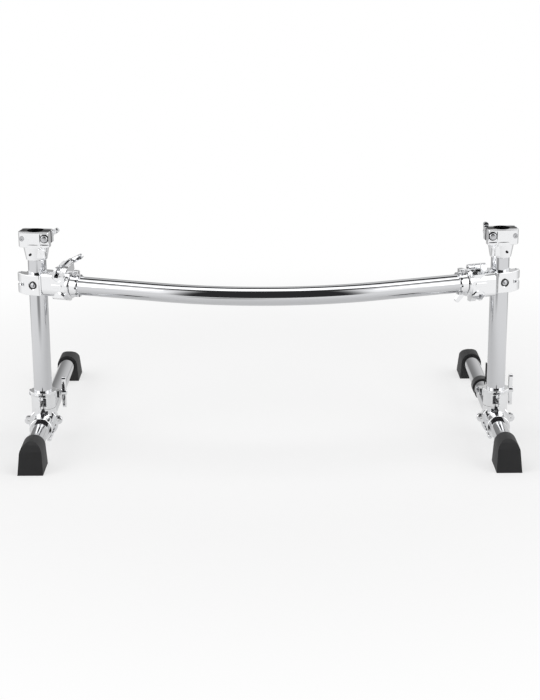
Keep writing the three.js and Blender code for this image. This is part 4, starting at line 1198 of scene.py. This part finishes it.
cup = soften(post_rod(cup_radius, cup_low, cup_high, cup_mouth), bridge_round)
cup_ring = post_rod(cup_mouth, 418, 424.7)
front_jaw = carved("z", 419, jaw_high, front_jaw_outline)
soften(front_jaw, jaw_round, 4, jaw_corner)
arch = joined(
    block((3.1, arch_front, 396), (23.9, arch_back, arch_z)),
    rod(arch_radius, (arch_x, arch_front, arch_z), (arch_x, arch_back, arch_z)),
)
arch_face = rod(arch_radius, (arch_x, -14.5, 395.7), (arch_x, -14.5, 418))
arch = combine(arch, (arch_face,), "INTERSECT")
top_body = joined(cup, cup_ring, front_jaw, soften(arch, shell_round))
top_body = cut_out(
    top_body,
    soften(block(*bolt_window), window_round, 4),
    cross_rod(5.3, -bolt_in, -30, -21.6, pin_sides),
    *bolt_holes(),
    set_rod(2.7, -30, 0, hole_sides),
    post_rod(liner_radius + liner_slip, 424.7, past_top),
    post_rod(15.2, 419, past_top),
    post_rod(tube_radius + tube_slip, 385, 422.8),
)
tidy(top_body)
rear_jaw = carved("z", jaw_low, jaw_high, rear_jaw_outline)
soften(rear_jaw, jaw_round, 4, jaw_corner)
rear_jaw = cut_out(rear_jaw, *bolt_holes(), post_rod(liner_radius + liner_slip, 420, past_top))
tidy(rear_jaw)
liner = soften(post_rod(liner_radius, jaw_low, liner_top), thread_round)
liner = cut_out(liner, post_rod(liner_bore, 420, past_top))
liners = {}
for name, keep in (("front", -1), ("rear", 1)):
    liners[name] = liner.copy()
    liners[name].data = liner.data.copy()
    bpy.context.collection.objects.link(liners[name])
    sawn(liners[name], (0, keep * liner_split, 0), (0, -keep, 0))
# Black ears and top plates on the liners fill the gap between the jaws: painted shade standing for the
# gap's shadow, while the half-rings are real liners.
for name, keep in (("front", -1), ("rear", 1)):
    for sign in (-1, 1):
        ear = beside(sign, keep, gap_shade_out, gap_shade_back, gap_shade_low, gap_shade_high)
        liners[name] = joined(liners[name], ear)
        flange = beside(sign, keep, gap_top_shade_out, gap_top_shade_back, gap_top_shade_low, gap_top_shade_high)
        liners[name] = joined(liners[name], soften(flange, gap_top_shade_round))
liners = {name: tidy(cut_out(piece, *bolt_holes())) for name, piece in liners.items()}
head_washer = soften(cross_rod(9, bolt_in, -22.6, -21.1, boss_sides), 0.4)
head_washer = tidy(cut_out(head_washer, cross_rod(3, bolt_in, -30, -15, hole_sides)))
set_screw = set_rod(2.55, -25.6, -20, hole_sides)
set_screw = tidy(cut_out(set_screw, set_rod(1.3, -30, -24.2, 6)))
top_bolt = joined(
    cross_rod(2.9, bolt_in, bolt_face, bolt_end, hole_sides),
    soften(cross_rod(8.2, bolt_in, bolt_face, -26.3, boss_sides, 6.6), ring_round, 5),
)
fulcrum = joined(
    cross_rod(2.4, -bolt_in, fulcrum_face, 21, hole_sides),
    soften(cross_rod(5, -bolt_in, -24, fulcrum_face, pin_sides), thread_round),
)
fulcrum = cut_out(fulcrum, cross_rod(2.2, -bolt_in, -25, -22.6, 6))
for side, word in both_sides:
    place = side_frame(side) @ Matrix.Rotation(accessory_turn, 4, "Z")
    nut = wing_nut(top_nut_span, top_nut_turns[side])
    body, jaw_body = f"{word}_accessory_clamp", f"{word}_accessory_jaw"
    for piece, part, rides_on, slot, finish in (
        (top_body, "accessory_clamp_body", body, "chrome_casting", cast_chrome),
        (rear_jaw, "accessory_clamp_jaw", jaw_body, "chrome_casting", cast_chrome),
        (liners["front"], "accessory_clamp_front_liner", body, "black_plastic", nylon_black),
        (liners["rear"], "accessory_clamp_rear_liner", jaw_body, "black_plastic", nylon_black),
        (top_bolt, "accessory_clamp_bolt", body, "steel_hardware", bolt_steel),
        (fulcrum, "accessory_clamp_fulcrum_screw", body, "steel_hardware", bolt_steel),
    ):
        settle(piece, f"{word}_{part}_fine", f"{word}_{part}", rides_on, finish, place)
    for piece, part in ((head_washer, "head_washer"), (set_screw, "set_screw")):
        settle(piece, f"{word}_accessory_clamp_{part}", None, body, nylon_black, place)
    seat = place @ Matrix.Translation((bolt_in, top_nut_at, bolt_up)) @ Matrix.Rotation(math.pi / 2, 4, "Z")
    settle(nut, f"{word}_accessory_clamp_wing_nut_fine", f"{word}_accessory_clamp_wing_nut",
           f"{word}_accessory_nut", cast_chrome, seat)
    done_with(nut)
done_with(top_body, rear_jaw, liner, *liners.values(), top_bolt, fulcrum, head_washer, set_screw)


# The key clip: a black nylon ring sprung on to the right leg tube, with two prongs that
# hold a drum key by its bow and a short hook in front of them.
clip_front, clip_back, clip_radius, clip_round = 209, 235, 21.2, 1.4
prong_front, prong_back, prong_top = 217, 227, 93
prong_half, prong_apart, prong_left = 1.7, 4.6, 15
hook_front, hook_back, hook_radius = 179, 191, 20.2
hook_box = (-5, 170, 0), (45, 240, 47)
arm_box = (-5, 170, 0), (5, 240, leg_height)
clip = soften(leg_rod(clip_radius, clip_front, clip_back), clip_round, 4)
for sign in (-1, 1):
    middle = sign * prong_apart - prong_left
    prong_foot = (middle - prong_half, prong_front, leg_height)
    prong = block(prong_foot, (middle + prong_half, prong_back, prong_top))
    clip = joined(clip, soften(prong, bridge_round, 4))
hook = leg_rod(hook_radius, hook_front, hook_back)
hook = combine(hook, (block(*hook_box),), "INTERSECT")
arm = leg_rod(hook_radius, hook_front, clip_back)
arm = combine(arm, (block(*arm_box),), "INTERSECT")
clip = joined(clip, soften(hook, pin_round, 3, 40), arm)
clip = cut_out(clip, leg_rod(leg_radius + tube_slip, 170, 240))
tidy(clip)
settle(clip, "right_key_clip_fine", "right_key_clip", "right_key_clip",
       nylon_black, side_frame(1))
done_with(clip)
